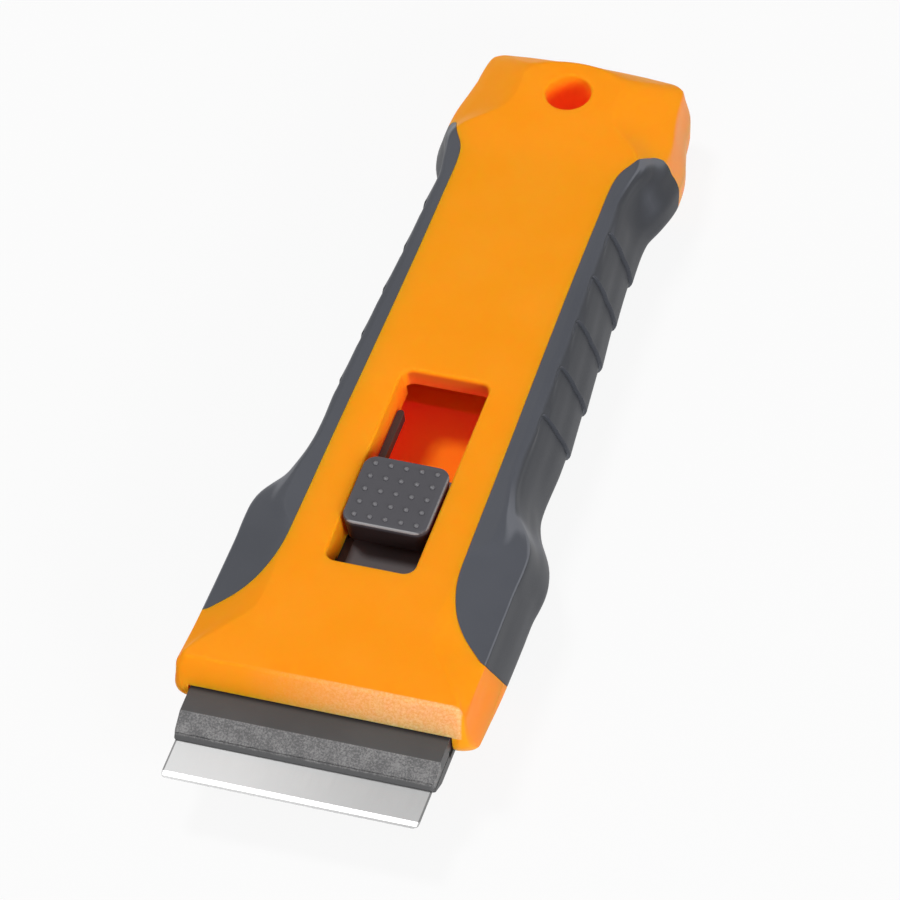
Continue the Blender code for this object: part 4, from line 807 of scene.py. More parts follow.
side_levels = [0.03, 0.045, 0.06, 0.08, 0.10, 0.12, 0.14, 0.15, 0.16, 0.17, 0.19]
side_levels += [0.22, 0.25, 0.28, 0.30, 0.32] + [0.36 + 0.06 * step for step in range(10)] + [0.92, 0.95]
body_mesh = stack_mesh("body", [mirrored(body_ring(level, even_stations(0.0011)))
                                for level in between_edges(side_levels)])
print("body: %d triangles" % len(body_mesh.polygons))

# %% Cutting tools
def cut(mesh, steps, name):
    """Applies Boolean steps, each an (operation, tool mesh) pair, to a mesh and returns the result."""
    obj = new_object(name, mesh)
    scratch = [obj]
    for operation, tool in steps:
        modifier = obj.modifiers.new(operation.lower(), 'BOOLEAN')
        modifier.operation = operation
        modifier.object = new_object("tool_" + tool.name, tool)
        scratch.append(modifier.object)
    bpy.context.view_layer.update()
    result = applied(obj).data
    for used in scratch:
        bpy.data.objects.remove(used, do_unlink=True)
    return result


def less(*tools):
    """Boolean steps that take tools away."""
    return [('DIFFERENCE', tool) for tool in tools]


def offset_rings(outline, rows):
    """Rings of an outline moved outward, one for each (offset, height) row."""
    return [[(point.x + normal.x * offset, point.y + normal.y * offset, z) for point, normal in outline]
            for offset, z in rows]


def flared_prism(name, outline, z_range, radius):
    """Upright prism whose top flares out, so that what it cuts gets a rounded rim."""
    low, face = z_range
    rows = [(0.0, low)]
    rows += [(radius * (1 - math.cos(turn)), face - radius + radius * math.sin(turn))
             for turn in quarter_turn(15)]
    return tube_mesh(name, offset_rings(outline, rows + [(radius, face + 0.003)]))


def round_rectangle(centre_y, width, length, radius, steps=10):
    """Closed outline of (point, outward) pairs with round corners, centred on x = 0."""
    pairs = []
    for corner, (side_x, side_y) in enumerate(((1, -1), (1, 1), (-1, 1), (-1, -1))):
        centre = Vector((side_x * (width / 2 - radius), centre_y + side_y * (length / 2 - radius)))
        for step in range(steps + 1):
            angle = math.radians(90 * corner - 90 + 90 * step / steps)
            normal = Vector((math.cos(angle), math.sin(angle)))
            pairs.append((centre + normal * radius, normal))
    return pairs


def circle(centre_y, radius, steps=64, centre_x=0.0):
    """Closed round outline of (point, outward) pairs."""
    turns = [math.tau * step / steps for step in range(steps)]
    directions = [Vector((math.cos(turn), math.sin(turn))) for turn in turns]
    return [(Vector((centre_x, centre_y)) + normal * radius, normal) for normal in directions]


def smoothed(obj, angle=30.0):
    """Smooth shading with sharp edges kept, and normals that leave flat faces flat."""
    obj.data.shade_smooth()
    obj.data.set_sharp_from_angle(angle=math.radians(angle))
    modifier = obj.modifiers.new("flat_faces", 'WEIGHTED_NORMAL')
    modifier.keep_sharp = True
    return applied(obj)


def finished(name, mesh, material, body, slot, *nodes, angle=30.0):
    """A finished piece: shaded, riding on its body and standing for its nodes."""
    mesh.materials.clear()
    obj = smoothed(new_object(name, mesh, material), angle)
    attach(obj, body)
    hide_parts(*nodes)
    print("%s: %d triangles" % (name, sum(len(face.vertices) - 2 for face in obj.data.polygons)))


# %% [markdown]
# ## Pockets for the grips
#
# The real grips are moulded into shallow pockets of the hard shells. The pocket is everything
# outside a curved edge line on the face, down to a core that is the handle's own form made
# thinner. The same space, a hair smaller, later cuts the grips, so the two always fit.

# %% Grip space
GRIP_FRONT_GAP = 0.0091
GRIP_REAR_GAP = 0.0157
GRIP_FRONT_Y = MOUTH_Y + GRIP_FRONT_GAP
GRIP_LENGTH = BODY_LENGTH - GRIP_REAR_GAP - GRIP_FRONT_GAP
STRIP_HALF_WIDTH = 0.0121
GRIP_SLANT = 0.0120
GRIP_REAR_SLANT = -0.0033
GRIP_THICKNESS = 0.0030
GRIP_HEAD_THICKNESS = 0.0009
GRIP_SEAM = 0.00006
BELOW_Z = -0.004
EDGE_SHIFTS = (-0.008, -0.004, 0.0, 0.004, 0.008)
GRIP_EDGE = (
    (-0.016, 1.40), (-0.013, 1.153), (0.004, 0.942), (0.033, 0.64), (0.0635, 0.421), (0.0935, 0.2835),
    (0.1244, 0.192), (0.155, 0.149), (0.1865, 0.139), (0.25, 0.125), (0.38, 0.10), (0.53, 0.06),
    (0.72, 0.02), (0.86, 0.01), (0.925, 0.012), (0.9537, 0.068), (0.9677, 0.154), (0.9798, 0.243),
    (0.9948, 0.313), (1.0185, 0.40), (1.0301, 0.458), (1.0378, 0.545), (1.0423, 0.629), (1.0452, 0.70),
    (1.0462, 0.82), (1.0466, 1.40),
)
CORE_LEVELS = (0.0, 0.03, 0.073, 0.12, 0.16, 0.22, 0.32, 0.41, 0.51, 0.61, 0.70, 0.78, 0.91, 1.0)


def grip_thickness(y):
    """The grip's thickness at a length; it is thinner where the head widens."""
    head = between(HEAD_WIDTHS, (y - MOUTH_Y) / BODY_LENGTH)
    thinned = min(1.0, max(0.0, (head - 0.2) / 0.5))
    return GRIP_THICKNESS + (GRIP_HEAD_THICKNESS - GRIP_THICKNESS) * thinned


def grip_space(name, gap):
    """Space of the right grip: outward of its edge line, slanted back with depth at both ends."""
    outside = HEAD_HALF_WIDTH + 0.008
    top, bottom = [], []
    for first, second in zip(GRIP_EDGE, GRIP_EDGE[1:]):
        for step in range(6):
            share = first[0] + (second[0] - first[0]) * step / 6
            y = GRIP_FRONT_Y + GRIP_LENGTH * share + gap * (1 - 2 * share)
            softened = sum(between(GRIP_EDGE, share + shift) for shift in EDGE_SHIFTS) / len(EDGE_SHIFTS)
            x = STRIP_HALF_WIDTH + (HEAD_HALF_WIDTH - STRIP_HALF_WIDTH) * softened + gap
            slant = GRIP_SLANT * max(0.0, 1 - share / 0.25)
            slant += GRIP_REAR_SLANT * max(0.0, 1 - (1 - share) / 0.25)
            for level, place, z in ((top, y, FACE_Z + 0.004), (bottom, y + slant, BELOW_Z)):
                level.append((Vector((x, place, z)), Vector((outside, place, z))))
    return stack_mesh(name, [top, bottom])


def flipped(mesh, name):
    """The mesh mirrored to the left side."""
    copy = mesh.copy()
    copy.name = name
    copy.transform(Matrix.Scale(-1, 4, (1, 0, 0)))
    copy.flip_normals()
    return copy


def thinner_body(name, thickness):
    """The handle's own form, thinner all round by a thickness that changes along its length."""
    rings = [body_ring(level, even_stations(0.0025), thickness) for level in CORE_LEVELS]
    return stack_mesh(name, [mirrored(ring) for ring in rings])


pocket = cut(grip_space("grip_space", 0.0), less(thinner_body("core", grip_thickness)), "pocket")
pocket_left = flipped(pocket, "pocket_left")
print("pocket: %d triangles" % len(pocket.polygons))

# %% [markdown]
# ## The two shells
#
# The face half and the back half are cut from one body at the parting line. The slot and the
# hanging hole get their soft rims from cutting tools that flare out at the top. Inside are the
# rooms for the slide, with the rails, racks and collar around the slot and the bosses for the screws.

# %% Places inside the shells
PARTING_Z = 0.0064
SEAM = 0.00006
SLOT_WIDTH = 0.0137
SLOT_CORNER = 0.0017
HOLE_RADIUS = 0.0035
RIM_ROUND = 0.00045
CLAMP_HALF_WIDTH = 0.0198
ROOM_HALF_WIDTH = 0.0102
RAIL_FRONT_Y = -0.03545
CARRIER_TOP_Z = FACE_Z - 0.0051
RAIL_HALF_WIDTH = 0.0142
RACK_HALF_GAP = 0.0083
COLLAR_HALF_WIDTH = 0.015
LOWER_HEAD_HALF_WIDTH = 0.0166
HEAD_RAILS = ((0.0104, 0.0116), (0.0148, 0.0160))
BOSS_RADIUS = 0.0026
SCREW_BORE_RADIUS = 0.0014
SCREW_HEAD_RADIUS = 0.0023
SCREW_SEAT_Z = 0.0026
WALL = 0.0018
BEYOND_X = (-0.03, 0.03)
BEYOND_Y = (-0.08, 0.08)
SCREW_PLACES = ((-0.0075, 0.01335), (0.0075, 0.01335), (0.0, 0.023945), (0.0, 0.04595))


def both_sides(inner, outer, y_range, z_range):
    """A box on the right and its mirror image on the left."""
    return [box_mesh("side", x_range, y_range, z_range) for x_range in ((inner, outer), (-outer, -inner))]


def column(radius, place, z_range, steps=30):
    """Upright column; with 30 sides no corner falls on the mirror plane, where the body has its seam."""
    outline = circle(place[1], radius, steps, place[0])
    return tube_mesh("column", offset_rings(outline, [(0.0, z) for z in z_range]))


def columns(radius, places, z_range):
    return [column(radius, place, z_range) for place in places]


hole = flared_prism("hole", circle(HOLE_Y, HOLE_RADIUS), (BELOW_Z, FACE_Z), RIM_ROUND)
print("slot %.1f x %.1f mm, hole %.1f mm" % (SLOT_LENGTH * 1000, SLOT_WIDTH * 1000, HOLE_RADIUS * 2000))

# %% Upper shell
def handle_room():
    """Hollow along the handle, with the collar, rails, racks and bosses left standing."""
    room = box_mesh("handle_room", (-ROOM_HALF_WIDTH, ROOM_HALF_WIDTH),
                    (RAIL_FRONT_Y - 0.004, REAR_Y - 0.021), (PARTING_Z - 0.004, FACE_Z - 0.002))
    front_y = RAIL_FRONT_Y - 0.008
    collar = box_mesh("collar", (-COLLAR_HALF_WIDTH, COLLAR_HALF_WIDTH), (front_y, SLOT_REAR_Y + 0.0012),
                      (FACE_Z - 0.0032, FACE_Z))
    run = (front_y, SLOT_REAR_Y)
    rails = both_sides(SLOT_WIDTH / 2, RAIL_HALF_WIDTH, run, (FACE_Z - 0.0058, FACE_Z))
    racks = both_sides(RACK_HALF_GAP, RAIL_HALF_WIDTH, run, (FACE_Z - 0.0074, FACE_Z))
    bosses = columns(BOSS_RADIUS, SCREW_PLACES, (PARTING_Z - 0.008, FACE_Z))
    return cut(room, less(collar, *rails, *racks, *bosses), "handle_room")


upper_half = box_mesh("upper_half", BEYOND_X, BEYOND_Y, (PARTING_Z + SEAM / 2, 0.02))
head_room = box_mesh("head_room", (-CLAMP_HALF_WIDTH - 0.0003, CLAMP_HALF_WIDTH + 0.0003),
                     (MOUTH_Y - 0.004, RAIL_FRONT_Y), (PARTING_Z - 0.004, CARRIER_TOP_Z))
slot = flared_prism("slot", round_rectangle(SLOT_MIDDLE_Y, SLOT_WIDTH, SLOT_LENGTH, SLOT_CORNER),
                    (PARTING_Z, FACE_Z), RIM_ROUND)
upper = cut(body_mesh.copy(), [('INTERSECT', upper_half)]
            + less(hole, pocket, pocket_left, head_room, handle_room(), slot), "upper")
finished("upper_shell_fine", upper, ORANGE, "handle", "body", "upper_shell")

# %% Lower shell
LOWER_TOP_Z = PARTING_Z - SEAM / 2


def lower_room():
    """Hollow of the back shell, one wall above the flat back and its ramp."""
    front_y = MOUTH_Y + 0.0066
    narrow_y = RAIL_FRONT_Y + 0.0003
    wide_length = RAIL_FRONT_Y - front_y
    outline = [Vector((LOWER_HEAD_HALF_WIDTH, front_y + wide_length * step / 12)) for step in range(13)]
    outline += [Vector((ROOM_HALF_WIDTH, narrow_y + 0.0775 * step / 12)) for step in range(13)]
    top = [Vector((p.x, p.y, PARTING_Z + 0.004)) for p in outline]
    bottom = [Vector((p.x, p.y, FACE_Z - body_depth(p.y) + WALL)) for p in outline]
    room = stack_mesh("room", [mirrored(top), mirrored(bottom)])
    runway = box_mesh("runway", (-RAIL_HALF_WIDTH, RAIL_HALF_WIDTH),
                      (SLOT_FRONT_Y - 0.008, SLOT_REAR_Y + 0.0095), (BELOW_Z, FACE_Z - 0.0123))
    rails = [rail for inner, outer in HEAD_RAILS for rail in both_sides(
        inner, outer, (MOUTH_Y, RAIL_FRONT_Y + 0.0012), (BELOW_Z, LOWER_TOP_Z))]
    bosses = columns(BOSS_RADIUS, SCREW_PLACES, (BELOW_Z, LOWER_TOP_Z))
    return cut(room, less(runway, *rails, *bosses), "room")


lower_half = box_mesh("lower_half", BEYOND_X, BEYOND_Y, (BELOW_Z, LOWER_TOP_Z))
steps = [('INTERSECT', lower_half)] + less(hole)
for place in SCREW_PLACES:
    steps += less(column(SCREW_BORE_RADIUS, place, (BELOW_Z, FACE_Z)),
                  column(SCREW_HEAD_RADIUS, place, (BELOW_Z, SCREW_SEAT_Z)))
steps += less(lower_room(), pocket, pocket_left)
lower = cut(body_mesh.copy(), steps, "lower")
finished("lower_shell_fine", lower, ORANGE, "handle", "body", "lower_shell")

# %% [markdown]
# ## Soft grips with finger pads
#
# Five pads overlap along each side like the scales of a fish: each rises toward the blade and then
# drops at a step. At the top of each step the edge turns round a small hook and runs on along the
# shoulder until it fades, with a fine groove at its foot. All of it is one height rule over the
# length and the depth, and the rings are packed close together where the steps and hooks are.

# %% Finger pads
PAD_STEP = 0.0005
BAND_RISE = 0.00022
HOOK_DEPTH = 0.0011
HOOK_RADIUS = 0.0008
GROOVE_DEPTH = 0.00032
GROOVE_WIDTH = 0.00020
GROOVE_RUN = (0.0015, 0.0036)
GROOVE_LOW = (0.0120, 0.0150)
SHOULDER_FADE = 0.0009
STEP_REACH = 0.0003
PAD_TOPS = ((0.03156, 0.11), (0.02265, 0.10), (0.01361, 0.14), (0.00431, 0.17), (-0.00530, 0.23))
PAD_PITCH = 0.0091
CLOSE_STEP = 0.00011
WIDER_STEP = 0.0003


def pad_height(y, depth):
    """How far the grip stands out from the handle's form at a length and a depth."""
    lines = [top + slant * (depth - HOOK_DEPTH) for top, slant in PAD_TOPS]
    lines = [lines[0] + PAD_PITCH] + lines + [lines[-1] - PAD_PITCH]
    if y > lines[0] or y < lines[-1]:
        return 0.0
    index = max(i for i in range(len(lines) - 1) if lines[i] >= y)
    behind = lines[index] - y
    share = behind / (lines[index] - lines[index + 1])
    last = index == len(lines) - 2
    ramp = 0.0 if last else PAD_STEP * share ** 1.15
    band = BAND_RISE * eased(depth, 0.0, 0.0004)
    if index == 0:
        band *= eased(share, 0.1, 0.9)
    if last:
        band *= 1 - eased(share, 0.3, 1.0)
    across = depth - HOOK_DEPTH
    if index == 0:
        return band + (ramp - band) * eased(across, -0.0001, SHOULDER_FADE)
    out_x, out_y = HOOK_RADIUS - across, HOOK_RADIUS - behind
    inside = HOOK_RADIUS - math.hypot(out_x, out_y) if out_x > 0 and out_y > 0 else min(across, behind)
    crisp = 0.00022 + 0.0012 * share
    height = band + (ramp - band) * eased(inside, -0.00005, crisp)
    if inside < 0:
        height = band
        if behind < STEP_REACH and across > 0:
            before = PAD_STEP * (1.0 if index == 1 else 0.9)
            height += (before - band) * eased(across, 0.0, SHOULDER_FADE) * eased(-inside, 0.0006, -0.00002)
    if inside <= -0.0004:
        return height
    groove = math.exp(-(inside / GROOVE_WIDTH) ** 2) * (1 - eased(behind, *GROOVE_RUN))
    return height - GROOVE_DEPTH * groove * (1 - eased(depth, *GROOVE_LOW))


def pad_stations(level):
    """Lengths of the grip's rings at a depth level; they lean back with the steps."""
    depth = level * FACE_Z
    table = [(-0.0200, 0.0)] + sorted(PAD_TOPS) + [(0.0450, 0.0)]
    places = even_stations(BODY_LENGTH / 150)(level)
    for top, slant in PAD_TOPS:
        places = [y for y in places if not top - 0.0040 < y < top + 0.0007]
        places += [top + 0.0006 - CLOSE_STEP * step for step in range(22)]
        places += [top - 0.0019 - WIDER_STEP * step for step in range(7)]
    return [y + between(table, y) * (depth - HOOK_DEPTH) for y in sorted(places)]


def half_pairs(ring):
    """Pairs a ring with a wall near the middle, for a body of which only the right side is used."""
    return [(Vector((min(0.004, point.x), point.y, point.z)), point) for point in ring]


pad_levels = [0.0270 + 0.0055 * step for step in range(16)] + [0.12, 0.135, 0.148, 0.16, 0.172, 0.19]
pad_levels += [0.22 + 0.045 * step for step in range(16)]
rings = [body_ring(level, pad_stations, extra=pad_height) for level in between_edges(pad_levels)]
padded_side = stack_mesh("padded_side", [half_pairs(ring) for ring in rings])
seat = thinner_body("seat", lambda y: grip_thickness(y) - 0.0001)
grip_mesh = cut(padded_side, [('INTERSECT', grip_space("grip_cut", GRIP_SEAM))] + less(seat), "grip")
left_mesh = flipped(grip_mesh, "grip_left")
finished("grip_right_fine", grip_mesh, GRIP, "handle", "grip", "grip_right", angle=50.0)
finished("grip_left_fine", left_mesh, GRIP, "handle", "grip", "grip_left", angle=50.0)

# %% [markdown]
# ## Clamp and blade
#
# Each jaw is one profile run across the head, so a profile in the side view is the natural way to
# make it. The bevels are small: a hair on the ridge, which catches a line of light, and more on the
# nose. The jaws have a channel behind for the folded back of the blade, open at both ends.

# %% Jaws
BLADE_Z = 0.0085
SHEET_HALF = 0.000125
PLAY = 0.00002
CHANNEL_FRONT_Y = -0.06469
CHANNEL_HALF = 0.000825
CLAMP_REAR_Y = -0.05385
CLAMP_BOTTOM_Z = 0.0067


def bar_mesh(name, profile, half_width):
    """One side profile of (y, z) rows, run across the head."""
    return tube_mesh(name, [[(x, y, z) for y, z in profile] for x in (-half_width, half_width)], whole=True)


def bevelled(mesh, chooses, width, steps=3):
    """Rounds the edges that the chooser picks by their middle point and direction."""
    bm = bmesh.new()
    bm.from_mesh(mesh)
    edges = []
    for edge in bm.edges:
        first, second = (vertex.co for vertex in edge.verts)
        if chooses((first + second) / 2, (second - first).normalized()):
            edges.append(edge)
    bmesh.ops.bevel(bm, geom=edges, offset=width, segments=steps, profile=0.5, affect='EDGES')
    bmesh.ops.recalc_face_normals(bm, faces=bm.faces)
    bm.to_mesh(mesh)
    bm.free()
    return mesh


def is_nose_corner(middle, direction):
    return middle.y < CLAMP_FRONT_Y + 0.0006 and abs(direction.x) < 0.5 and abs(middle.x) > 0.019


def is_outer_edge(middle, direction):
    at_end = abs(middle.x) > 0.0197
    return (at_end or abs(direction.x) > 0.9) and abs(middle.z - BLADE_Z) > 0.0009


def finished_jaw(name, profile, bores):
    jaw = bevelled(bar_mesh(name, profile, CLAMP_HALF_WIDTH), is_nose_corner, 0.0005, 4)
    jaw = bevelled(jaw, is_outer_edge, 0.00012)
    finished(name + "_fine", cut(jaw, less(*bores), name), CLAMP, "slider", "clamp", name, angle=12.0)


top_profile = (
    (CLAMP_REAR_Y, CLAMP_TOP_Z), (FACET_REAR_Y, CLAMP_TOP_Z), (CLAMP_FRONT_Y + 0.00045, CLAMP_TOP_Z - 0.0015),
    (CLAMP_FRONT_Y, CLAMP_TOP_Z - 0.0022), (CLAMP_FRONT_Y, BLADE_Z + SHEET_HALF + PLAY),
    (CHANNEL_FRONT_Y, BLADE_Z + SHEET_HALF + PLAY), (CHANNEL_FRONT_Y, BLADE_Z + CHANNEL_HALF),
    (CLAMP_REAR_Y, BLADE_Z + CHANNEL_HALF),
)
CLAMP_SCREWS = ((-0.0140, -0.05625), (0.0140, -0.05625))
CLAMP_BORE_RADIUS = 0.0012
CLAMP_HEAD_RADIUS = 0.0021
CLAMP_SEAT_Z = CLAMP_TOP_Z - 0.0013
heads = columns(CLAMP_HEAD_RADIUS, CLAMP_SCREWS, (CLAMP_SEAT_Z, FACE_Z))
finished_jaw("upper_jaw", top_profile, columns(CLAMP_BORE_RADIUS, CLAMP_SCREWS, (0.0, FACE_Z)) + heads)

NOSE_Y = CLAMP_FRONT_Y + 0.0004
low_profile = (
    (CLAMP_REAR_Y, CLAMP_BOTTOM_Z), (NOSE_Y + 0.0027, CLAMP_BOTTOM_Z), (NOSE_Y, BLADE_Z - 0.0005),
    (NOSE_Y, BLADE_Z - SHEET_HALF - PLAY), (CHANNEL_FRONT_Y, BLADE_Z - SHEET_HALF - PLAY),
    (CHANNEL_FRONT_Y, BLADE_Z - CHANNEL_HALF), (CLAMP_REAR_Y, BLADE_Z - CHANNEL_HALF),
)
finished_jaw("lower_jaw", low_profile, columns(CLAMP_BORE_RADIUS, CLAMP_SCREWS, (0.0, FACE_Z)))

# %% Blade
BLADE_REAR_Y = -0.05999
BLADE_WIDTH = 0.039
blade_profile = (
    (EDGE_Y, BLADE_Z), (BEVEL_Y, BLADE_Z + SHEET_HALF), (BLADE_REAR_Y, BLADE_Z + SHEET_HALF),
    (BLADE_REAR_Y, BLADE_Z - SHEET_HALF), (BEVEL_Y, BLADE_Z - SHEET_HALF),
)
plan = round_rectangle((EDGE_Y + BLADE_REAR_Y) / 2, BLADE_WIDTH, BLADE_REAR_Y - EDGE_Y, 0.0009)
plan_prism = flared_prism("blade_plan", plan, (BLADE_Z - 0.002, BLADE_Z + 0.002), 0.0001)
blade = cut(bar_mesh("blade", blade_profile, BLADE_WIDTH / 2), [('INTERSECT', plan_prism)], "blade_cut")
finished("blade_fine", blade, BLADE, "slider", "blade", "blade", angle=3.0)

# %% [markdown]
# ## Thumb button with its dots
#
# The button is a block with round corners and a softly rounded edge, hollow from below. Its front
# wall reaches down to the carrier at full width, and the leaves need room along its sides. Its 25
# raised dots repeat, so Geometry Nodes set them out: a grid of points, a small dome on each, and
# the button's own mesh joined in, all as one piece with one material.

# %% Button body
BUTTON_REAR_Y = BUTTON_Y + BUTTON_LENGTH / 2
BUTTON_WIDTH = 0.0132
BUTTON_TOP_Z = FACE_Z + 0.0007
BUTTON_SKIRT_Z = FACE_Z - 0.0026
BUTTON_WALL_Z = FACE_Z - 0.0038
TOP_ROUND = 0.00028


def button_plate():
    outline = round_rectangle(BUTTON_Y, BUTTON_WIDTH, BUTTON_LENGTH, 0.0020)
    rows = [(TOP_ROUND * (math.sin(turn) - 1), BUTTON_TOP_Z + TOP_ROUND * (math.cos(turn) - 1))
            for turn in quarter_turn(15)]
    rows += [(0.0, FACE_Z), (-0.0004, BUTTON_WALL_Z)]
    return tube_mesh("button", offset_rings(outline, rows))


button_steps = less(
    *both_sides(0.0052, 0.0080, (BUTTON_FRONT_Y + 0.0023, BUTTON_REAR_Y + 0.0010), (0.0, BUTTON_SKIRT_Z)),
    box_mesh("hollow", (-0.0055, 0.0055), (BUTTON_FRONT_Y + 0.0011, BUTTON_REAR_Y - 0.0011),
             (0.0, BUTTON_TOP_Z - 0.0018)))
stem = box_mesh("stem", (-0.0015, 0.0015), (BUTTON_Y - 0.0015, BUTTON_Y + 0.0015),
                (0.00635, BUTTON_TOP_Z - 0.0017))
button_steps.append(('UNION', stem))
button_mesh = cut(button_plate(), button_steps, "button")
print("button %.1f x %.1f mm" % (BUTTON_WIDTH * 1000, BUTTON_LENGTH * 1000))

# %% Dots by Geometry Nodes
def geometry_tree(name, inputs):
    """A Geometry Nodes tree with named inputs of (socket type, value), and its given sockets."""
    tree = bpy.data.node_groups.new(name, 'GeometryNodeTree')
    tree.is_modifier = True
    for title, (kind, value) in inputs.items():
        socket = tree.interface.new_socket(title, in_out='INPUT', socket_type='NodeSocket' + kind)
        if value is not None:
            socket.default_value = value
    tree.interface.new_socket("Geometry", in_out='OUTPUT', socket_type='NodeSocketGeometry')
    return tree, tree.nodes.new('NodeGroupInput').outputs


def end_in_material(tree, geometry, material):
    coloured = node_with(tree, 'GeometryNodeSetMaterial', {"Geometry": geometry, "Material": material})
    node_with(tree, 'NodeGroupOutput', {0: coloured.outputs["Geometry"]})
    return tree


def dots_tree():
    tree, given = geometry_tree("button_dots", {
        "Geometry": ("Geometry", None), "Columns Width": ("Float", 0.0096), "Rows Length": ("Float", 0.0100),
        "Dot Radius": ("Float", 0.00042), "Dot Rise": ("Float", 0.00026),
        "Middle": ("Vector", (0.0, 0.0, 0.0)), "Material": ("Material", None),
    })
    grid = node_with(tree, 'GeometryNodeMeshGrid', {
        "Size X": given["Columns Width"], "Size Y": given["Rows Length"], "Vertices X": 5, "Vertices Y": 5})
    placed = node_with(tree, 'GeometryNodeTransform', {
        "Geometry": grid.outputs["Mesh"], "Translation": given["Middle"]})
    ball = node_with(tree, 'GeometryNodeMeshUVSphere', {
        "Segments": 16, "Rings": 8, "Radius": given["Dot Radius"]})
    flat = math_node(tree, 'DIVIDE', given["Dot Rise"], given["Dot Radius"])
    shape = node_with(tree, 'ShaderNodeCombineXYZ', {"X": 1.0, "Y": 1.0, "Z": flat})
    dots = node_with(tree, 'GeometryNodeInstanceOnPoints', {
        "Points": placed.outputs["Geometry"], "Instance": ball.outputs["Mesh"], "Scale": shape.outputs[0]})
    real = node_with(tree, 'GeometryNodeRealizeInstances', {"Geometry": dots.outputs["Instances"]})
    smooth = node_with(tree, 'GeometryNodeSetShadeSmooth', {"Geometry": real.outputs["Geometry"]})
    joined_up = node_with(tree, 'GeometryNodeJoinGeometry', {0: smooth.outputs["Geometry"]})
    tree.links.new(given["Geometry"], joined_up.inputs[0])
    return end_in_material(tree, joined_up.outputs[0], given["Material"])


def run_tree(obj, tree, **values):
    """Runs a Geometry Nodes tree with its inputs set by their identifiers, and keeps the plain mesh."""
    modifier = obj.modifiers.new(tree.name, 'NODES')
    modifier.node_group = tree
    identifiers = {item.name: item.identifier for item in tree.interface.items_tree if item.in_out == 'INPUT'}
    for name, value in values.items():
        modifier[identifiers[name]] = value
    obj.update_tag()
    bpy.context.view_layer.update()
    return applied(obj)


button = smoothed(new_object("thumb_button_fine", button_mesh, BUTTON))
button = run_tree(button, dots_tree(), Middle=(0.0, BUTTON_Y, BUTTON_TOP_Z), Material=BUTTON)
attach(button, "button")
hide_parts("thumb_button")
print("button with dots: %d faces" % len(button.data.polygons))

# %% [markdown]
# ## Screws
#
# Four pan-head screws close the shells from the back, and two more hold the jaws together. They
# only repeat, so one screw is drawn as a turned profile with a cross recess, and Geometry Nodes
# place it on each point. One run makes the shell screws, which ride on the handle, and another the
# clamp screws, which ride on the slider.

# %% Screw and its copies
def turned_mesh(name, profile, steps=32):
    """Solid turned about the z axis; the profile's rows are (radius, z) and end on the axis."""
    vertices, faces, start = [], [], 0
    for radius, z in profile:
        for step in range(steps if radius > 0 else 1):
            angle = math.tau * step / steps
            vertices.append((radius * math.cos(angle), radius * math.sin(angle), z))
    for row in range(len(profile) - 1):
        lower = steps if profile[row][0] > 0 else 1
        upper = steps if profile[row + 1][0] > 0 else 1
        above = start + lower
        for step in range(steps):
            after = (step + 1) % steps
            face = [start + step % lower, start + after % lower, above + after % upper, above + step % upper]
            faces.append(tuple(dict.fromkeys(face)))
        start = above
    return mesh_from(name, vertices, faces)


def screw_mesh(name, head_radius, head_height, shank_radius, length, recess):
    """Pan-head screw with its head's top on z = 0 and its shank downward."""
    round_over = head_height * 0.45
    profile = [(0.0, 0.0)]
    profile += [(head_radius - round_over * (1 - math.sin(turn)), round_over * (math.cos(turn) - 1))
                for turn in quarter_turn(18)]
    profile += [(head_radius, -head_height), (shank_radius, -head_height)]
    pitch = shank_radius * 0.7
    for ridge in range(int((length - head_height - shank_radius) / pitch)):
        z = -head_height - pitch * (ridge + 0.5)
        foot = shank_radius * 0.80
        profile += [(foot, z + pitch * 0.35), (shank_radius * 0.98, z), (foot, z - pitch * 0.35)]
    profile += [(shank_radius * 0.3, -length), (0.0, -length)]
    screw = turned_mesh(name, profile)
    arm = head_radius * 0.55
    long, short = (-arm, arm), (-recess / 2, recess / 2)
    cross = [box_mesh("arm", *sides, (-head_height * 0.7, 0.001)) for sides in ((long, short), (short, long))]
    return cut(screw, less(*cross), name)


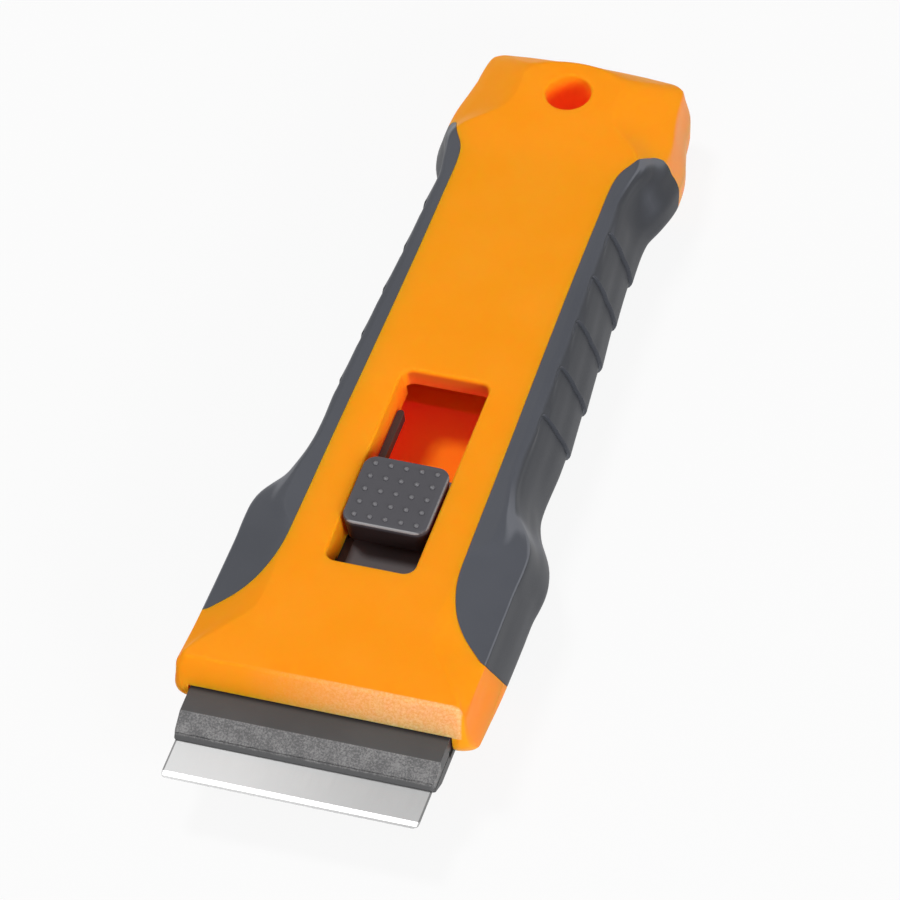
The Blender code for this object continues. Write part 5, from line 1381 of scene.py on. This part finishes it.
def screws_tree():
    tree, given = geometry_tree("screw_copies", {
        "Geometry": ("Geometry", None), "Screw": ("Object", None), "Turn": ("Rotation", None),
        "Material": ("Material", None),
    })
    screw = node_with(tree, 'GeometryNodeObjectInfo', {"Object": given["Screw"]})
    spun = node_with(tree, 'FunctionNodeRandomValue', {2: 0.0, 3: math.pi / 2, "Seed": 7}, data_type='FLOAT')
    spin = node_with(tree, 'ShaderNodeCombineXYZ', {"Z": spun.outputs[1]})
    turned = node_with(tree, 'FunctionNodeRotateRotation', {
        "Rotation": given["Turn"], "Rotate By": spin.outputs[0]}, rotation_space='LOCAL')
    copies = node_with(tree, 'GeometryNodeInstanceOnPoints', {
        "Points": given["Geometry"], "Instance": screw.outputs["Geometry"], "Rotation": turned.outputs[0]})
    real = node_with(tree, 'GeometryNodeRealizeInstances', {"Geometry": copies.outputs["Instances"]})
    return end_in_material(tree, real.outputs["Geometry"], given["Material"])


def screw_set(name, screw, places, z, turn, body, *nodes):
    points = bpy.data.meshes.new(name)
    points.from_pydata([(x, y, z) for x, y in places], [], [])
    source = smoothed(new_object("one_screw", screw, ZINC), 35.0)
    obj = run_tree(new_object(name, points), screws_tree(), Screw=source, Turn=turn, Material=ZINC)
    bpy.data.objects.remove(source, do_unlink=True)
    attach(obj, body)
    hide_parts(*nodes)
    print("%s: %d screws, %d faces" % (name, len(places), len(obj.data.polygons)))


shell_screw = screw_mesh("shell_screw", 0.0021, 0.0014, 0.0012, 0.0100, 0.0006)
screw_set("shell_screws_fine", shell_screw, SCREW_PLACES, 0.0010, (math.pi, 0.0, 0.0), "handle",
          "shell_screw_left", "shell_screw_right", "shell_screw_middle", "shell_screw_rear")
clamp_screw = screw_mesh("clamp_screw", 0.0019, 0.0009, 0.0010, 0.0040, 0.0005)
screw_set("clamp_screws_fine", clamp_screw, CLAMP_SCREWS, CLAMP_TOP_Z - 0.0002, (0.0, 0.0, 0.0), "slider",
          "clamp_screw_left", "clamp_screw_right")

# %% [markdown]
# ## Pieces that keep their exact solid
#
# The carrier, its two spring leaves, the latch bar, the coil spring and the folded back of the
# blade have the right shape already and are mostly hidden, so they only need their finish. The
# finish is assigned to the node's material slots, and the mesh is left alone.

# %% Finishes for the remaining nodes
KEPT_NODES = {
    "blade_carrier": NYLON, "detent_leaf_left": NYLON, "detent_leaf_right": NYLON, "latch_bar": NYLON,
    "button_spring": SPRING, "blade_spine": SPRING,
}
for name, material in KEPT_NODES.items():
    for slot_entry in frame["nodes"][name].material_slots:
        slot_entry.material = material
print("finished in place:", sorted(KEPT_NODES))

# %% [markdown]
# ## Last update
#
# The view layer is brought up to date once more at the end.

# %% Last update
bpy.context.view_layer.update()
